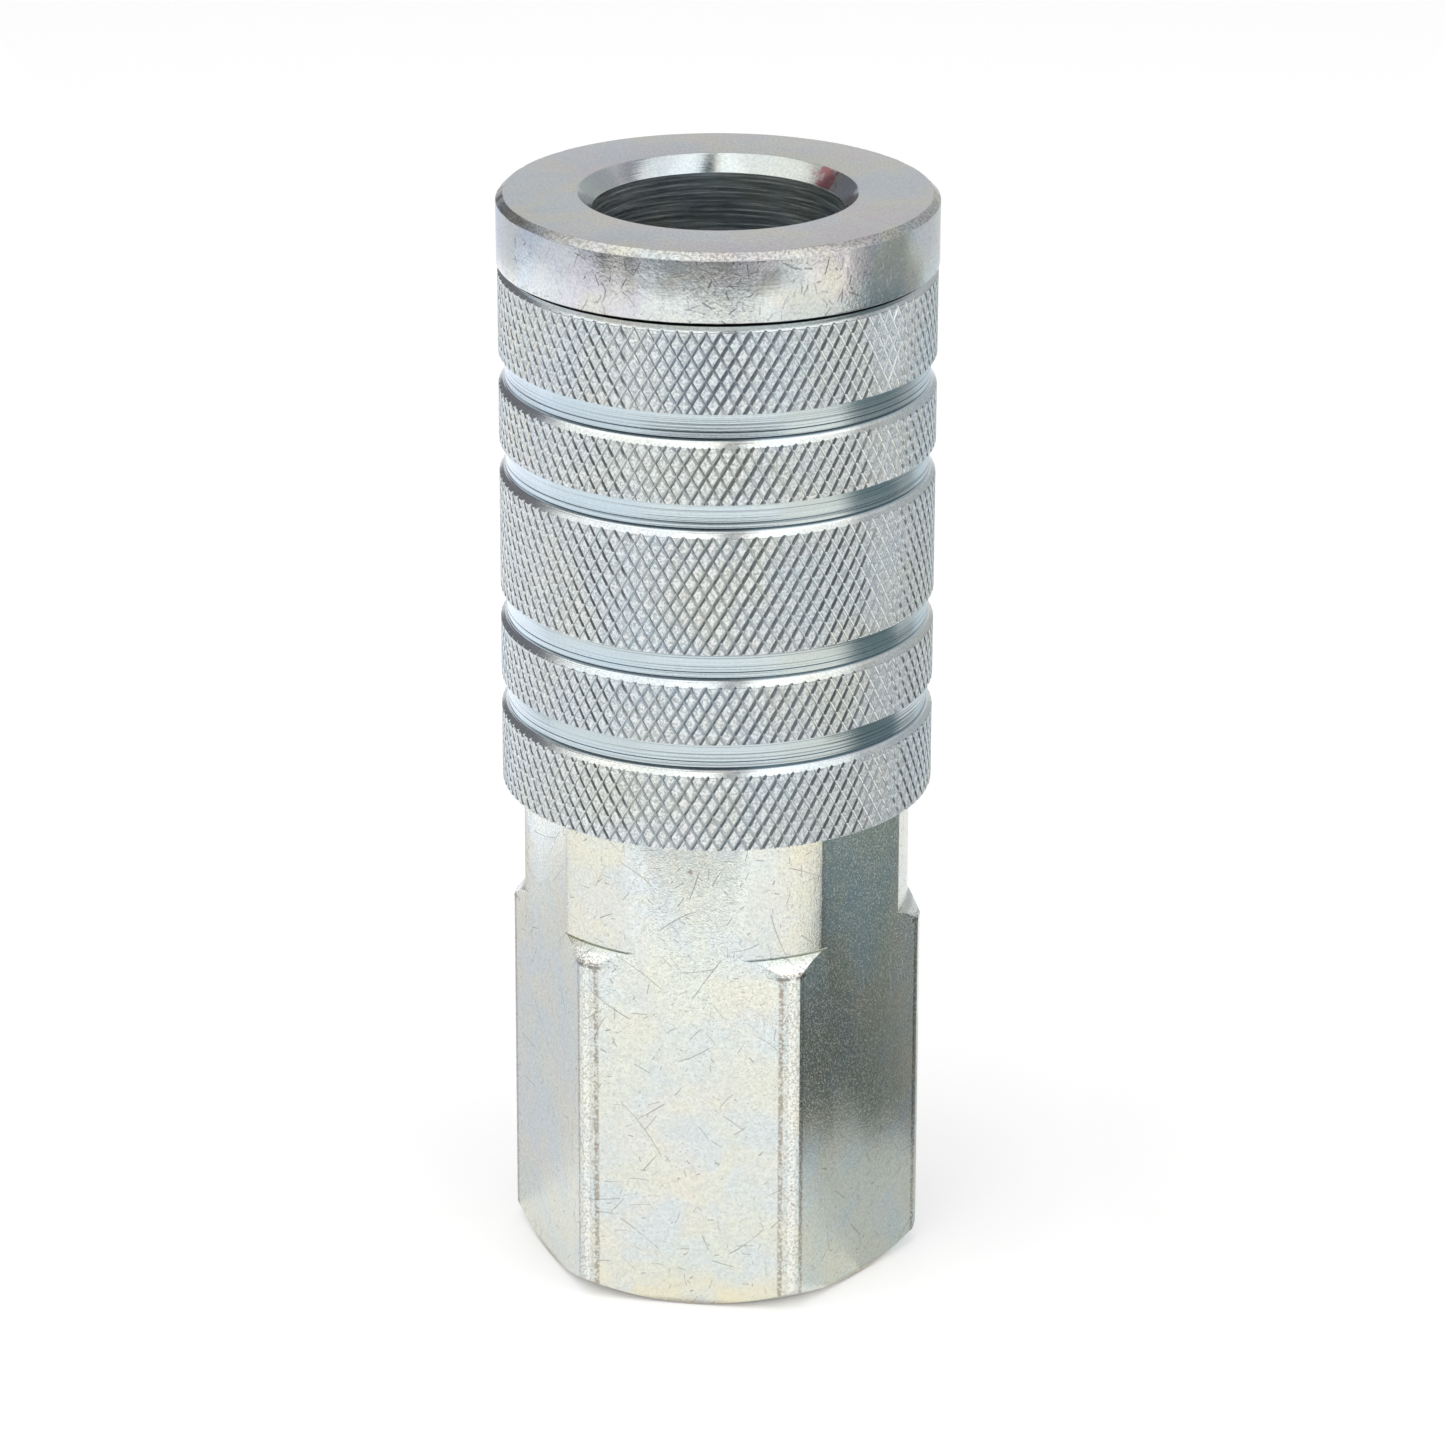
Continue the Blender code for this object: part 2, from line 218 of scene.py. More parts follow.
def knurl_blank(radius, bottom, top):
    """A solid bar whose outside is the full diamond pattern, standing a little proud of the crest radius.

    Points lie on a lattice of rows and columns, half a diamond apart. Each diamond has its four
    corners where the V-cuts cross and a plateau inside them. The cuts that climb to the right are
    the deeper ones, as the second knurling wheel of a pair leaves them.
    """
    rng = random.Random(7)
    width = 2 * math.pi * radius / KNURL_LINES
    height = width / math.tan(KNURL_ANGLE)
    columns = 2 * KNURL_LINES
    rows = math.ceil((top - bottom) / (height / 2)) + 1
    crest = radius + KNURL_SPARE
    spacing = width * math.cos(KNURL_ANGLE)
    deep = radius - KNURL_DEEP_CUT[1]
    shallow = radius - KNURL_LIGHT_CUT[1]
    deep_share, light_share = (
        2 * half_width * (1 + KNURL_SPARE / depth) / spacing
        for half_width, depth in (KNURL_DEEP_CUT, KNURL_LIGHT_CUT)
    )

    def point(row, column, r):
        angle = math.pi * column / KNURL_LINES
        return (r * math.cos(angle), r * math.sin(angle), bottom + row * height / 2)

    points = []
    index = {}
    for row in range(rows + 1):
        for column in range(row % 2, columns, 2):
            index[row, column] = len(points)
            points.append(point(row, column, deep))
    middles = {}

    def middle_of(row, column):
        key = (row, column % columns)
        if key not in middles:
            middles[key] = len(points)
            points.append(point(row, column, shallow))
        return middles[key]

    faces = []
    for row in range(1, rows):
        for column in range(row % 2, columns, 2):
            middle = (column + 1) % columns
            left, right = index[row, column], index[row, (column + 2) % columns]
            under, over = index[row - 1, middle], index[row + 1, middle]
            uneven = 1 + rng.uniform(-KNURL_UNEVEN, KNURL_UNEVEN)
            across, along = 1 - deep_share * uneven, 1 - light_share * uneven
            far, near = (across + along) / 2, (across - along) / 2
            first = len(points)
            for d_row, d_column in ((near, -far), (-far, near), (-near, far), (far, -near)):
                points.append(point(row + d_row, column + 1 + d_column, crest))
            p_left, p_under, p_right, p_over = range(first, first + 4)
            low_middle = middle_of(row - 0.5, column + 0.5)
            high_middle = middle_of(row + 0.5, column + 1.5)
            faces += [
                [p_left, p_under, p_right, p_over],
                [under, right, p_right, p_under],
                [over, left, p_left, p_over],
                [left, low_middle, p_left],
                [low_middle, p_under, p_left],
                [low_middle, under, p_under],
                [right, high_middle, p_right],
                [high_middle, p_over, p_right],
                [high_middle, over, p_over],
            ]
    cap_rise = 5.0
    for row, outward in ((0, -1), (rows - 1, 1)):
        centre = len(points)
        points.append((0, 0, bottom + row * height / 2 + outward * cap_rise))
        loop = []
        for column in range(columns):
            here = row + (row + column) % 2
            loop.append(index[here, column])
            if here > row:
                loop.append(middle_of(row + 0.5, column + 0.5))
        for k in range(len(loop)):
            pair = [loop[k], loop[(k + 1) % len(loop)]]
            faces.append([*pair, centre] if outward > 0 else [*reversed(pair), centre])
    return add_object("knurl_blank", mesh_from("knurl_blank", points, faces))


def tool_mark(radius, height, half_width, depth):
    """The corners of a V that the lathe tool leaves round a turned floor."""
    return [(radius, height + half_width), (radius - depth, height), (radius, height - half_width)]


def lock_sleeve(material):
    """The knurled sleeve: a turned blank with four grooves, cut to the diamond pattern.

    Inside, from the rear: the skirt over the hex body, the land that holds the balls in, the cam
    that rises over the sleeve's travel to the recess that lets them out, and the lip at the front.
    """
    radius = high("lock_sleeve").x
    front, rear = high("lock_sleeve").z, low("lock_sleeve").z
    shoulder = high("spring_washer").z + WASHER_GAP
    ball_height = centre_height("lock_ball_1")
    travel = travel_of("sleeve_slide")
    land, recess, skirt, lip = 14.55, 15.85, 17.0, 14.45
    lip_width = 1.6
    edge = 0.08
    proud = radius + KNURL_SPARE / 2
    floor = radius - GROOVE_DEPTH
    corners = [(radius - FRONT_CHAMFER, front, 0.1), (proud, front - FRONT_CHAMFER - 0.04)]
    for below in GROOVES_BELOW_FRONT:
        top = front - below
        low_edge = top - GROOVE_WIDTH
        foot = low_edge + FOOT_CHAMFER + 0.28
        corners += [
            (proud, top + 0.05),
            (radius - 0.06, top, 0.04),
            (floor, top, 0.12),
            *tool_mark(floor, foot + 0.62, 0.05, 0.15),
            *tool_mark(floor, foot + 0.05, 0.1, 0.24),
            (floor + 0.02, foot - 0.12, 0.05),
            (proud - FOOT_CHAMFER, low_edge + FOOT_CHAMFER, 0.1),
            (proud, low_edge),
        ]
    corners += [
        (proud, rear + 0.05),
        (radius - 0.1, rear, 0.05),
        (skirt, rear, 0.2),
        (skirt, shoulder),
        (land, shoulder, edge),
        (land, ball_height),
        (recess, ball_height + travel),
        (recess, front - lip_width),
        (lip, front - lip_width, edge),
        (lip, front, edge),
    ]
    sleeve = turned("lock_sleeve_knurled", corners)
    blank = knurl_blank(radius, rear - KNURL_OVERRUN, front + KNURL_OVERRUN)
    combine(sleeve, blank, "INTERSECT")
    return finish_piece(sleeve, "sleeve", "zinc_sleeve", material, "lock_sleeve")


# ---------------------------------------------------------------- front socket

RING_HEIGHT = 5.95
NICK_COUNT = 46
MIDDLE_HEIGHT = 50.0
BALL_RADIUS = 2.5
BALL_HOLE_RADIUS = 2.3
BALL_HOLE_TAPER = math.radians(15)


def nicked(obj, radius, height, width, depth, seed):
    """Small knocks along a turned edge: points near it are pressed in where a knock falls."""
    rng = random.Random(seed)
    knocks = [
        (rng.uniform(-math.pi, math.pi), rng.uniform(0.2, 1.0) * depth, rng.uniform(0.2, 0.8))
        for _ in range(NICK_COUNT)
    ]
    for vertex in obj.data.vertices:
        r = math.hypot(vertex.co.x, vertex.co.y)
        away = math.hypot(r / MM - radius, vertex.co.z / MM - height)
        if away > width:
            continue
        angle = math.atan2(vertex.co.y, vertex.co.x)
        press = 0
        for at, deep, span in knocks:
            turn = (angle - at + math.pi) % (2 * math.pi) - math.pi
            press += deep * math.exp(-((turn * radius / span) ** 2))
        press *= 1 - away / width
        vertex.co.x -= vertex.co.x / r * press * MM
        vertex.co.y -= vertex.co.y / r * press * MM
        vertex.co.z -= press * MM * math.copysign(1, height - MIDDLE_HEIGHT)
    obj.data.update()


def front_socket(material):
    """The front ring and its tube: plug bore with a lead-in, O-ring gland, valve seat and rear spigot."""
    top, radius = high("front_socket").z, high("front_socket").x
    rear = low("front_socket").z
    foot = top - RING_HEIGHT
    shelf = high("hex_body").z + 0.3
    bore, gland, throat, seat, spigot, tube = 10.64, 13.1, 7.6, 10.2, 12.3, 14.2
    seat_low, seat_high, bore_floor = 51.9, 54.5, 61.5
    gland_low, gland_high = 66.7, 70.7
    lead_in_width, lead_in_depth = 1.22, 1.42
    corners = [
        (radius - 0.6, top, 0.1),
        (radius, top - 0.56, 0.18),
        (radius, foot, 0.18),
        (tube, foot, 0.2),
        (tube, shelf, 0.1),
        (spigot, shelf),
        (spigot, rear, 0.3),
        (seat, rear, 0.2),
        (seat, seat_low, 0.1),
        (throat, seat_high, 0.1),
        (throat, bore_floor, 0.3),
        (bore, bore_floor, 0.3),
        (bore, gland_low, 0.08),
        (gland, gland_low, 0.1),
        (gland, gland_high, 0.1),
        (bore, gland_high, 0.08),
        (bore, top - lead_in_depth, 0.12),
        (bore + lead_in_width, top, 0.1),
    ]
    socket = turned("front_socket_turned", corners, steps=RING_STEPS)
    nicked(socket, radius - 0.25, top - 0.25, 0.6, 0.07, seed=11)
    nicked(socket, radius, foot, 0.4, 0.03, seed=12)
    overrun = 2
    inner, outer = bore - overrun, tube + overrun
    small = BALL_HOLE_RADIUS - overrun * math.tan(BALL_HOLE_TAPER)
    large = small + (outer - inner) * math.tan(BALL_HOLE_TAPER)
    middle = ((inner + outer) / 2 * MM, 0, centre_height("lock_ball_1") * MM)
    for i, angle in enumerate(ball_angles()):
        turn = Matrix.Rotation(angle, 4, "Z")
        place = turn @ Matrix.Translation(middle) @ Matrix.Rotation(math.pi / 2, 4, "Y")
        drill = cone(f"ball_hole_{i + 1}", small, large, outer - inner, 48, place)
        combine(socket, drill, "DIFFERENCE")
    return finish_piece(socket, "socket_body", "zinc_ring", material, "front_socket")


def ball_angles():
    count = sum(node.startswith("lock_ball") for node in frame["nodes"])
    return [2 * math.pi * (i + 0.5) / count for i in range(count)]


def lock_balls(material):
    for i in range(len(ball_angles())):
        node = f"lock_ball_{i + 1}"
        centre = (low(node) + high(node)) / 2
        shape = bmesh.new()
        bmesh.ops.create_uvsphere(shape, u_segments=40, v_segments=24, radius=BALL_RADIUS * MM)
        mesh = bpy.data.meshes.new(node)
        shape.to_mesh(mesh)
        shape.free()
        mesh.shade_smooth()
        ball = add_object(f"locking_ball_{i + 1}", mesh)
        ball.location = centre * MM
        finish_piece(ball, f"ball_{i + 1}", "ball_steel", material, node)


# ---------------------------------------------------------------- hex body

THREAD_PITCH = 25.4 / 14
THREAD_DEPTH = 1.15
THREAD_ROOT = 0.35
HEX_CORNER = 17.95
HEX_SHOULDER = 32.9


def thread_rod(minor_radius, bottom, top):
    """A solid right-hand screw thread with trapezoid ridges, cut off square at its inner end.

    Its rows of points climb with the helix, so the last column of one row meets the first of a later one.
    """
    columns, per_pitch = 96, 8
    step = THREAD_PITCH / per_pitch
    profile = [0, 0, 0.5, 1, 1, 1, 0.5, 0]
    rows = math.ceil((top - bottom) / step) + 2 * per_pitch
    points = []
    for row in range(rows):
        for column in range(columns):
            angle = 2 * math.pi * column / columns
            z = bottom - THREAD_PITCH + row * step + THREAD_PITCH * column / columns
            r = minor_radius - THREAD_ROOT + (THREAD_DEPTH + THREAD_ROOT) * profile[row % per_pitch]
            points.append((r * math.cos(angle), r * math.sin(angle), z))
    faces = []
    for row in range(rows - per_pitch):
        for column in range(columns):
            last = column == columns - 1
            shift = row + per_pitch if last else row
            here, over = row * columns + column, shift * columns + (column + 1) % columns
            if shift + 1 < rows:
                faces.append([here, over, over + columns, here + columns])
    mesh = mesh_from("thread_rod", points, faces)
    rod = add_object("thread_rod", mesh)
    shape = bmesh.new()
    shape.from_mesh(mesh)
    loose = [vertex for vertex in shape.verts if not vertex.link_faces]
    bmesh.ops.delete(shape, geom=loose, context="VERTS")
    bmesh.ops.holes_fill(shape, edges=[edge for edge in shape.edges if edge.is_boundary])
    bmesh.ops.triangulate(shape, faces=[face for face in shape.faces if len(face.verts) > 4])
    bmesh.ops.recalc_face_normals(shape, faces=shape.faces)
    shape.to_mesh(mesh)
    shape.free()
    depth = top - bottom + 4
    place = Matrix.Translation((0, 0, (top - depth / 2) * MM))
    stock = cone("thread_stock", minor_radius + 3, minor_radius + 3, depth, 96, place)
    return combine(rod, stock, "INTERSECT")


def hex_body(material):
    """The hexagonal body: a turned blank cut to the hex, with the threaded port in its foot."""
    front = high("hex_body").z
    flat = high("hex_body").y
    corner, shoulder = HEX_CORNER, HEX_SHOULDER
    relief = 16.78
    undercut = relief - 0.25
    port, mouth, port_depth = 12.2, 13.4, 15.5
    web, web_top = 9.4, 20.0
    chamber, chamber_top, spigot_bore = 10.4, 38.1, 12.55
    foot = flat - 0.17
    rise = (corner - foot) * math.tan(math.radians(33))
    corners = [
        (relief, front, 0.5),
        (relief, shoulder + 0.18),
        (undercut, shoulder + 0.14),
        (undercut, shoulder),
        (relief, shoulder - 0.04),
        (relief + 0.4, shoulder - 0.42, 0.05),
        (corner, shoulder - 1.45, 0.12),
        (corner, rise, 0.3),
        (foot, 0, 0.15),
        (mouth, 0, 0.1),
        (port, mouth - port),
        (port, port_depth),
        (web, port_depth, 0.2),
        (web, web_top, 0.1),
        (chamber, web_top),
        (chamber, chamber_top, 0.1),
        (spigot_bore, chamber_top),
        (spigot_bore, front, 0.3),
    ]
    body = turned("hex_body_plated", corners, steps=HEX_STEPS)
    vertex_radius = flat / math.cos(math.pi / 6)
    tall = 2 * front
    upright = Matrix.Translation((0, 0, front / 2 * MM)) @ Matrix.Rotation(math.pi / 6, 4, "Z")
    blank = cone("hexagon", vertex_radius, vertex_radius, tall, 6, upright)
    combine(body, blank, "INTERSECT", "EXACT")
    soften = body.modifiers.new("soften", "BEVEL")
    soften.width = 0.14 * MM
    soften.segments = 3
    soften.limit_method = "ANGLE"
    soften.angle_limit = math.radians(14)
    soften.use_clamp_overlap = True
    freeze(body)
    combine(body, thread_rod(port, -2.0, port_depth - 0.4), "DIFFERENCE")
    return finish_piece(body, "socket_body", "zinc_body", material, "hex_body")


# ---------------------------------------------------------------- washers, seals and valve


def flat_ring(node, name, inner, outer, edge, body, slot, material):
    """A washer between its CAD node's faces, with softened edges."""
    bottom, top = low(node).z, high(node).z
    corners = [(outer, top, edge), (outer, bottom, edge), (inner, bottom, edge), (inner, top, edge)]
    return finish_piece(turned(name, corners, SMALL_STEPS), body, slot, material, node)


def round_seal(node, name, body, material):
    """An O-ring with the box of its CAD node, and the thin flash line that its mould leaves."""
    bottom, top, outer = low(node).z, high(node).z, high(node).x
    section = (top - bottom) / 2
    centre = outer - section
    sides, flash = 28, 0.03
    corners = []
    for i in range(sides):
        angle = math.pi / 2 - 2 * math.pi * i / sides
        reach = section + flash if i in (sides // 4, 3 * sides // 4) else section
        corners.append((centre + reach * math.cos(angle), bottom + section + reach * math.sin(angle)))
    seal = turned(name, corners, SMALL_STEPS)
    return finish_piece(seal, body, "black_rubber", material, node)


def valve_guide(material):
    """The poppet stem's guide: a hub on a disc that is drilled for the flow."""
    bottom, top, outer = low("valve_guide").z, high("valve_guide").z, high("valve_guide").x
    thickness = 2.6
    face = bottom + thickness
    hub, bore = 4.2, 2.8
    hole_count, hole_circle, hole_radius, drill_length = 8, 7.6, 1.7, 8
    corners = [
        (hub, top, 0.3),
        (hub, face, 0.3),
        (outer, face, 0.25),
        (outer, bottom, 0.25),
        (bore, bottom, 0.2),
        (bore, top, 0.2),
    ]
    guide = turned("valve_guide_drilled", corners, SMALL_STEPS)
    for i in range(hole_count):
        turn = Matrix.Rotation(2 * math.pi * i / hole_count, 4, "Z")
        place = turn @ Matrix.Translation((hole_circle * MM, 0, (bottom + thickness / 2) * MM))
        drill = cone(f"flow_hole_{i}", hole_radius, hole_radius, drill_length, 40, place)
        combine(guide, drill, "DIFFERENCE")
    return finish_piece(guide, "socket_body", "brass", material, "valve_guide")


def valve_poppet(material):
    """The poppet: a boss for its nose, the flange that the spring presses on, and the stem."""
    bottom, top, flange = low("valve_poppet").z, high("valve_poppet").z, high("valve_poppet").x
    boss, stem = 5.0, 2.5
    flange_low, flange_high = 48.0, 51.6
    corners = [
        (0, top),
        (boss, top, 0.4),
        (boss, flange_high),
        (flange, flange_high, 0.3),
        (flange, flange_low, 0.3),
        (stem, flange_low, 0.4),
        (stem, bottom, 0.5),
        (0, bottom),
    ]
    poppet = turned("valve_poppet_turned", corners, SMALL_STEPS)
    return finish_piece(poppet, "poppet", "machined_steel", material, "valve_poppet")


def poppet_nose(material):
    """The nose that a plug pushes: a cup over the poppet's boss, with a lip that holds the seal."""
    bottom, top, lip = low("poppet_nose").z, high("poppet_nose").z, high("poppet_nose").x
    side, face, socket = 7.0, 5.0, 5.3
    lip_low, lip_high = 54.0, 55.1
    dimple, dimple_depth = 1.6, 0.4
    socket_floor = top - 3.4
    corners = [
        (0, top - dimple_depth),
        (dimple - dimple_depth, top - dimple_depth, 0.2),
        (dimple, top, 0.2),
        (face, top, 0.6),
        (side, top - 2.0, 0.6),
        (side, lip_high + 0.4, 0.1),
        (lip, lip_high, 0.1),
        (lip, lip_low, 0.1),
        (side, lip_low, 0.05),
        (side, bottom, 0.1),
        (socket, bottom, 0.1),
        (socket, socket_floor, 0.2),
        (0, socket_floor),
    ]
    nose = turned("poppet_nose_turned", corners, SMALL_STEPS)
    return finish_piece(nose, "poppet", "machined_steel", material, "poppet_nose")


def coil_spring(node, name, wire, turns, material):
    """A spring with a closed and ground turn at each end."""
    bottom, top, outer = low(node).z, high(node).z, high(node).x
    radius = outer - wire / 2
    per_turn, sides = 48, 14
    ground = 0.25 * wire
    closed_pitch = 1.1 * wire
    open_pitch = (top - bottom - wire - 2 * closed_pitch) / (turns - 2)
    points, faces = [], []
    for i in range(turns * per_turn + 1):
        turn = i / per_turn
        open_turns = min(max(turn - 1, 0), turns - 2)
        rise = (turn - open_turns) * closed_pitch + open_turns * open_pitch
        angle = 2 * math.pi * turn
        for k in range(sides):
            around = 2 * math.pi * k / sides
            r = radius + wire / 2 * math.cos(around)
            z = bottom + wire / 2 + rise + wire / 2 * math.sin(around)
            z = min(max(z, bottom + ground), top - ground)
            points.append((r * math.cos(angle), r * math.sin(angle), z))
    for i in range(turns * per_turn):
        for k in range(sides):
            after = (k + 1) % sides
            here, over = i * sides, (i + 1) * sides
            faces.append([here + k, over + k, over + after, here + after])
    last = turns * per_turn * sides
    faces.append(list(range(sides)))
    faces.append([last + k for k in reversed(range(sides))])
    spring = freeze(add_object(name, mesh_from(name, points, faces)))
    finish_piece(spring, "socket_body", "spring_steel", material, node)
    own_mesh(spring)
    return spring


# ---------------------------------------------------------------- materials


class Shader:
    """One material and short calls that add its nodes. A value may be a number, a colour or a socket."""

    def __init__(self, name, color, metallic, roughness):
        self.material = bpy.data.materials.new(name)
        self.material.use_nodes = True
        self.tree = self.material.node_tree
        self.surface = self.tree.nodes["Principled BSDF"]
        self.color = (*color, 1)
        self.put(self.surface.inputs["Base Color"], self.color)
        self.put(self.surface.inputs["Metallic"], metallic)
        self.put(self.surface.inputs["Roughness"], roughness)
        coordinates = self.add("ShaderNodeTexCoord")
        self.place = self.vector("SCALE", coordinates.outputs["Object"], scale=1 / MM)
        apart = self.add("ShaderNodeSeparateXYZ", Vector=self.place)
        self.x, self.y, self.z = apart.outputs
        self.normal = coordinates.outputs["Normal"]

    def put(self, socket, value):
        if isinstance(value, bpy.types.NodeSocket):
            self.tree.links.new(value, socket)
        else:
            socket.default_value = value

    def add(self, kind, settings=None, **inputs):
        node = self.tree.nodes.new(kind)
        for key, value in (settings or {}).items():
            setattr(node, key, value)
        for key, value in inputs.items():
            self.put(node.inputs[key.replace("_", " ")], value)
        return node

    def math(self, operation, *values):
        node = self.add("ShaderNodeMath", {"operation": operation})
        for socket, value in zip(node.inputs, values):
            self.put(socket, value)
        return node.outputs[0]

    def times(self, first, *others):
        for other in others:
            first = self.math("MULTIPLY", first, other)
        return first

    def plus(self, a, b):
        return self.math("ADD", a, b)

    def minus(self, a, b):
        return self.math("SUBTRACT", a, b)

    def vector(self, operation, a, b=None, scale=None):
        node = self.add("ShaderNodeVectorMath", {"operation": operation})
        self.put(node.inputs[0], a)
        if b is not None:
            self.put(node.inputs[1], b)
        if scale is not None:
            self.put(node.inputs["Scale"], scale)
        return node.outputs[0]

    def length(self, a, b):
        return self.math("SQRT", self.plus(self.math("POWER", a, 2.0), self.math("POWER", b, 2.0)))

    def radius(self):
        squares = self.plus(self.times(self.x, self.x), self.times(self.y, self.y))
        return self.math("SQRT", squares)

    def slope(self):
        """0 where the surface is upright and 1 where it is level."""
        parts = self.add("ShaderNodeSeparateXYZ", Vector=self.normal)
        return self.math("ABSOLUTE", parts.outputs[2])

    def wrapped(self, radius):
        """Millimetres round the piece and up it, as if its side were unrolled."""
        angle = self.math("ARCTAN2", self.y, self.x)
        return self.add("ShaderNodeCombineXYZ", X=self.times(angle, radius), Y=self.z).outputs[0]

    def noise(self, place, scale, detail=2.0, distortion=0.0, roughness=0.5):
        node = self.add(
            "ShaderNodeTexNoise",
            Vector=place,
            Scale=scale,
            Detail=detail,
            Distortion=distortion,
            Roughness=roughness,
        )
        return node.outputs["Fac"]

    def lines(self, along, per_mm, detail=3.0):
        """Fine parallel lines: noise in one dimension."""
        node = self.add(
            "ShaderNodeTexNoise",
            {"noise_dimensions": "1D"},
            W=self.times(along, per_mm),
            Scale=1.0,
            Detail=detail,
        )
        return node.outputs["Fac"]

    def step(self, value, start, end, low=0.0, high=1.0):
        """Goes smoothly from low to high as the value goes from start to end."""
        node = self.add("ShaderNodeMapRange", {"interpolation_type": "SMOOTHSTEP"}, Value=value)
        self.put(node.inputs["From Min"], start)
        self.put(node.inputs["From Max"], end)
        self.put(node.inputs["To Min"], low)
        self.put(node.inputs["To Max"], high)
        return node.outputs["Result"]

    def band(self, value, start, end, soft):
        """1 between two values, and 0 outside them over a soft edge."""
        return self.times(
            self.step(value, end, end + soft, 1.0, 0.0),
            self.step(value, start - soft, start),
        )

    def mix(self, share, a, b, blend="MIX"):
        node = self.add("ShaderNodeMix", {"data_type": "RGBA", "blend_type": blend})
        self.put(node.inputs[0], share)
        self.put(node.inputs[6], a)
        self.put(node.inputs[7], b)
        return node.outputs[2]

    def grey(self, value):
        """A colour with the value in all three channels."""
        return self.add("ShaderNodeCombineColor", Red=value, Green=value, Blue=value).outputs[0]

    def coat(self, share, color):
        """Lays a colour over the material's, by a share from 0 to 1."""
        self.color = self.mix(share, self.color, (*color, 1))
        self.put(self.surface.inputs["Base Color"], self.color)

    def tone(self, color):
        """Multiplies the material's colour by another."""
        self.color = self.mix(1.0, self.color, color, "MULTIPLY")
        self.put(self.surface.inputs["Base Color"], self.color)

    def roughness(self, value):
        self.put(self.surface.inputs["Roughness"], value)

    def bump(self, height, distance, strength=1.0):
        """Adds a bump, of a height from 0 to 1 times a distance in millimetres, over what is there."""
        node = self.add("ShaderNodeBump", Height=height, Strength=strength, Distance=distance * MM)
        socket = self.surface.inputs["Normal"]
        if socket.is_linked:
            self.put(node.inputs["Normal"], socket.links[0].from_socket)
        self.put(socket, node.outputs[0])

    def shift(self, place, distance):
        return self.vector("ADD", place, (distance, 2 * distance, 0))

    def scratches(self, place, cell, length, width, share):
        """Short bent marks, at most one for each cell of a Voronoi pattern, each at its own angle."""
        scaled = self.vector("SCALE", place, scale=1 / cell)
        cells = self.add("ShaderNodeTexVoronoi", {"voronoi_dimensions": "2D"}, Vector=scaled, Scale=1.0)
        offset = self.vector("SUBTRACT", scaled, cells.outputs["Position"])
        chance = self.add("ShaderNodeSeparateColor", Color=cells.outputs["Color"])
        turn = self.times(chance.outputs[0], 2 * math.pi)
        turned_place = self.add(
            "ShaderNodeVectorRotate",
            {"rotation_type": "Z_AXIS"},
            Vector=offset,
            Angle=turn,
        )
        local = self.add("ShaderNodeSeparateXYZ", Vector=turned_place.outputs[0])
        curve = self.step(chance.outputs[1], 0.0, 1.0, -SCRATCH_BEND, SCRATCH_BEND)
        bend = self.times(local.outputs[0], local.outputs[0], curve)
        across = self.math("ABSOLUTE", self.minus(local.outputs[1], bend))
        along = self.math("ABSOLUTE", local.outputs[0])
        reach = self.times(chance.outputs[1], length / cell / 2)
        thin = self.step(across, width / cell / 2, width / cell, 1.0, 0.0)
        short = self.step(self.minus(along, reach), -0.05, 0.0, 1.0, 0.0)
        some = self.math("LESS_THAN", chance.outputs[2], share)
        return self.times(thin, short, some)

    def all_scratches(self, place, kinds):
        """Scratches of several kinds, each (shift of its pattern, cell, length, width, share)."""
        marks = 0.0
        for shift, *kind in kinds:
            marks = self.math("MAXIMUM", marks, self.scratches(self.shift(place, shift), *kind))
        return marks


# Chromate tints over the zinc: neutral, pale blue, straw, rose and pale green.
CLEAR = (0.71, 0.72, 0.68)
BLUE = (0.62, 0.70, 0.74)
STRAW = (0.77, 0.74, 0.59)
ROSE = (0.72, 0.66, 0.68)
GREEN = (0.66, 0.73, 0.68)
DEEP_STRAW = (0.80, 0.73, 0.52)

# What lies on the plating: scratches, specks, smudges, rust, knocks, pits and dark wear on the edges. Painted
# light is here too: painted highlights on the hex cones and corner lands, a painted shadow line under the
# cones, painted contact shade round the foot, and painted shade on the sleeve's turning lines. One grey
# darkens the knurl cuts deeper in.
SCRATCH_BROWN = (0.24, 0.22, 0.2)
SPECK_BROWN = (0.3, 0.28, 0.25)
SMUDGE_GREY = (0.45, 0.46, 0.46)
RUST_BROWN = (0.25, 0.16, 0.12)
WORN_DARK = (0.3, 0.29, 0.25)
EDGE_BROWN = (0.32, 0.27, 0.22)
SHADOW_LINE_DARK = (0.2, 0.19, 0.17)
FOOT_SHADE_BROWN = (0.26, 0.22, 0.18)
CONE_HIGHLIGHT_WHITE = (0.88, 0.88, 0.86)
RIDGE_HIGHLIGHT_WHITE = (0.86, 0.86, 0.82)
KNOCK_GREY = (0.2, 0.2, 0.21)
PIT_GREY = (0.3, 0.3, 0.3)
RIM_BROWN = (0.24, 0.22, 0.17)
BORE_TEAL = (0.40, 0.50, 0.55)
STAIN_RED = (0.44, 0.10, 0.13)
CUT_DEPTH_GREY = (0.22, 0.24, 0.25)
GROOVE_BLUE = (0.47, 0.55, 0.585)
TURNING_LINE_SHADE_BLUE = (0.2, 0.23, 0.26)

SCRATCH_BEND = 0.22
BODY_SCRATCHES = (
    (3.1, 8.0, 8.0, 0.045, 0.45),
    (33.11, 4.3, 4.6, 0.05, 0.6),
    (20.79, 2.7, 2.6, 0.04, 0.5),
    (11.55, 1.5, 1.3, 0.035, 0.35),
    (8.47, 1.1, 0.6, 0.06, 0.25),
)
RING_KNOCKS = (
    (0.0, 1.0, 1.1, 0.07, 0.7),
    (7.95, 1.5, 1.4, 0.06, 0.6),
    (12.19, 2.3, 2.0, 0.05, 0.6),
)
STAIN_PLACE = (8.1, 7.6)


